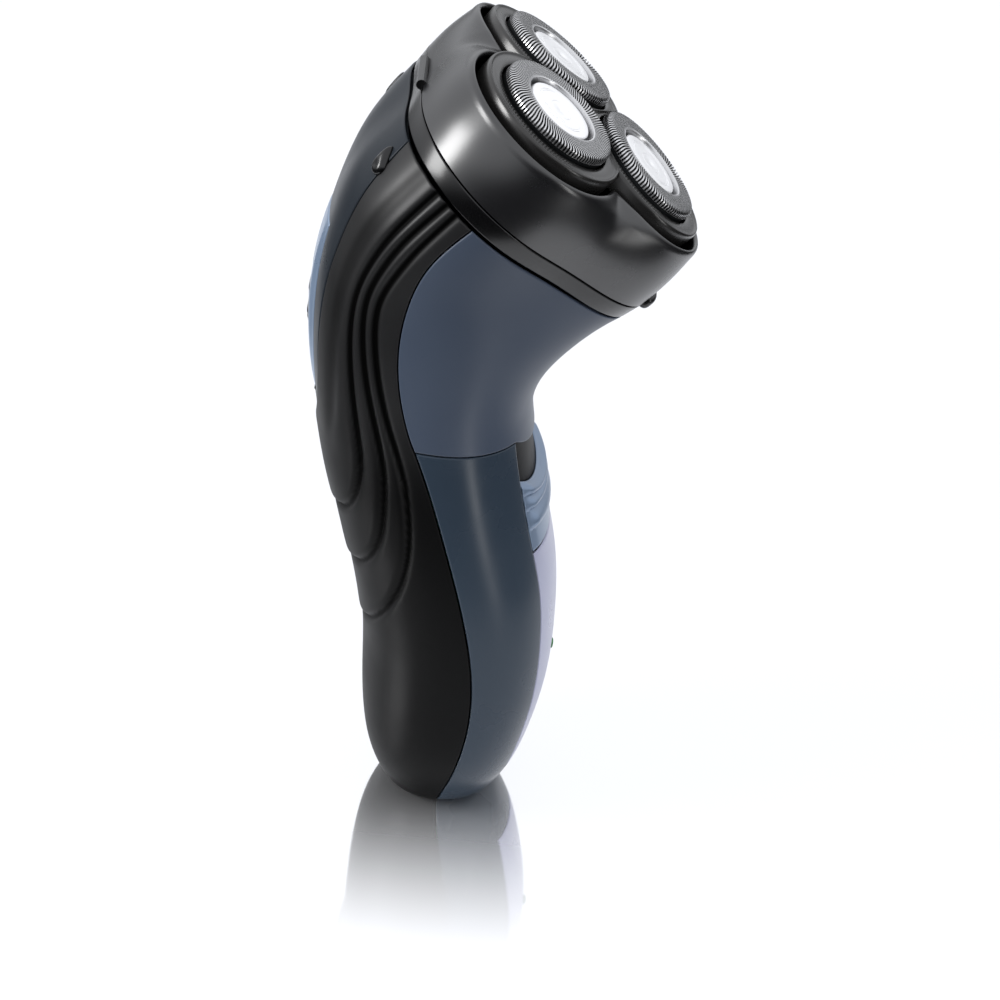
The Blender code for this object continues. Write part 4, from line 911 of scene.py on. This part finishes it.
# solder resist on a glass board: deep green and glossy, darker over the copper
board_green = finish("solder_resist_on_board", "0f4a2a", 0.3, 0.8, 0.01, vary=0.2)
# shrunk film on a cell: smooth mid green
cell_sleeve = finish("shrink_sleeve_green", "2f7a55", 0.25, 2.0, 0.01, vary=0.05)
# enamelled wire in layers: brown metal, rough with its turns
copper_coil = finish("enamelled_copper_winding", "9c5a2c", 0.3, 0.3, 0.02, metallic=1.0, vary=0.15)

steel_nodes = ("inlet_pin_left", "inlet_pin_right", "motor", "motor_shaft", "plate_screw_left",
               "plate_screw_right", "trimmer_comb", "trimmer_blade", "trimmer_pin")
inside = dict.fromkeys(steel_nodes, bright_steel)
inside.update({"motor_pinion": yellow_brass, "charge_coil": copper_coil, "circuit_board": board_green,
               "battery_left": cell_sleeve, "battery_right": cell_sleeve, "battery_cradle": dark_satin,
               "switch_block": dark_satin, "hinge_pin": gloss_black, "gear_plate": dark_satin,
               "end_cap": gloss_black, "hair_chamber": black_with_painted_shade, "retaining_frame": dark_satin,
               "retaining_lock": gunmetal})
for number in (1, 2, 3):
    inside.update({f"drive_gear_{number}": white_acetal, f"spindle_{number}": white_acetal,
                   f"spindle_spring_{number}": bright_steel, f"cutter_{number}": bright_steel})
for name, material in inside.items():
    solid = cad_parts[name].data
    solid.materials.clear()
    solid.materials.append(material)


# ---- Floor, light and camera ---------------------------------------------------------
# A polished white sheet under a pale, even sky, a large soft box behind and a narrow one
# low in front. The sheet mirrors the shaver's foot, and fades to plain white in front.

# polished acrylic: white, mirror-smooth
floor_paint = finish("polished_white_acrylic", "f2f2f3", 0.06, 5.0, 0.0, vary=0.0, uneven=0.02)
tree = floor_paint.node_tree
shader = tree.nodes["Principled BSDF"]
place = add(tree, "TexCoord").outputs["Object"]
ahead = add(tree, "SeparateXYZ", {"Vector": place}).outputs["X"]
polish = add(tree, "MapRange", {"Value": ahead, "From Min": -0.068, "From Max": -0.006,
                                "To Min": 0.0, "To Max": 0.9}, interpolation_type="SMOOTHSTEP")
tree.links.new(polish.outputs["Result"], shader.inputs["Metallic"])
mesh = bpy.data.meshes.new("floor")
mesh.from_pydata([(-0.1, -0.1, 0), (0.8, -0.34, 0), (0.8, 0.3, 0), (-0.1, 0.1, 0)], [], [(0, 1, 2, 3)])
mesh.materials.append(floor_paint)
floor = bpy.data.objects.new("floor", mesh)
bpy.context.scene.collection.objects.link(floor)
floor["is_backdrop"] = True

world = bpy.data.worlds.new("studio")
world.use_nodes = True
tree = world.node_tree
height = add(tree, "SeparateXYZ", {"Vector": add(tree, "TexCoord").outputs["Generated"]}).outputs["Z"]
sky = add(tree, "MapRange", {"Value": height, "From Min": -0.2, "From Max": 0.2,
                             "To Min": 0.05, "To Max": 1.24})
tree.links.new(sky.outputs["Result"], tree.nodes["Background"].inputs["Strength"])
tree.nodes["Background"].inputs["Color"].default_value = linear("f4f6fa")
bpy.context.scene.world = world
bpy.context.scene.view_settings.view_transform = "Standard"


def soft_box(name, place, target, size, power):
    """An area light at a place, aimed at a target; millimetres and watts."""
    light = bpy.data.lights.new(name, "AREA")
    light.shape = "RECTANGLE"
    light.size, light.size_y = size[0] * 0.001, size[1] * 0.001
    light.energy = power
    made = bpy.data.objects.new(name, light)
    start, end = Vector(place) * 0.001, Vector(target) * 0.001
    made.location = start
    made.rotation_euler = (end - start).to_track_quat("-Z", "Y").to_euler()
    bpy.context.scene.collection.objects.link(made)


soft_box("back_box", (-210, 640, 350), (0, 0, 125), (300, 400), 5.5)
soft_box("front_strip", (-440, -620, -130), (0, 0, 70), (70, 420), 0.8)

camera = bpy.data.cameras.new("camera")
camera.lens, camera.sensor_width = 107.64, 36.0
camera.clip_end = 50.0
made = bpy.data.objects.new("camera", camera)
made.location = (-0.46925, 0.00576, 0.32743)
made.rotation_euler = tuple(math.radians(value) for value in (60.159, -4.631, -88.475))
bpy.context.scene.collection.objects.link(made)
bpy.context.scene.camera = made

low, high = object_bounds()
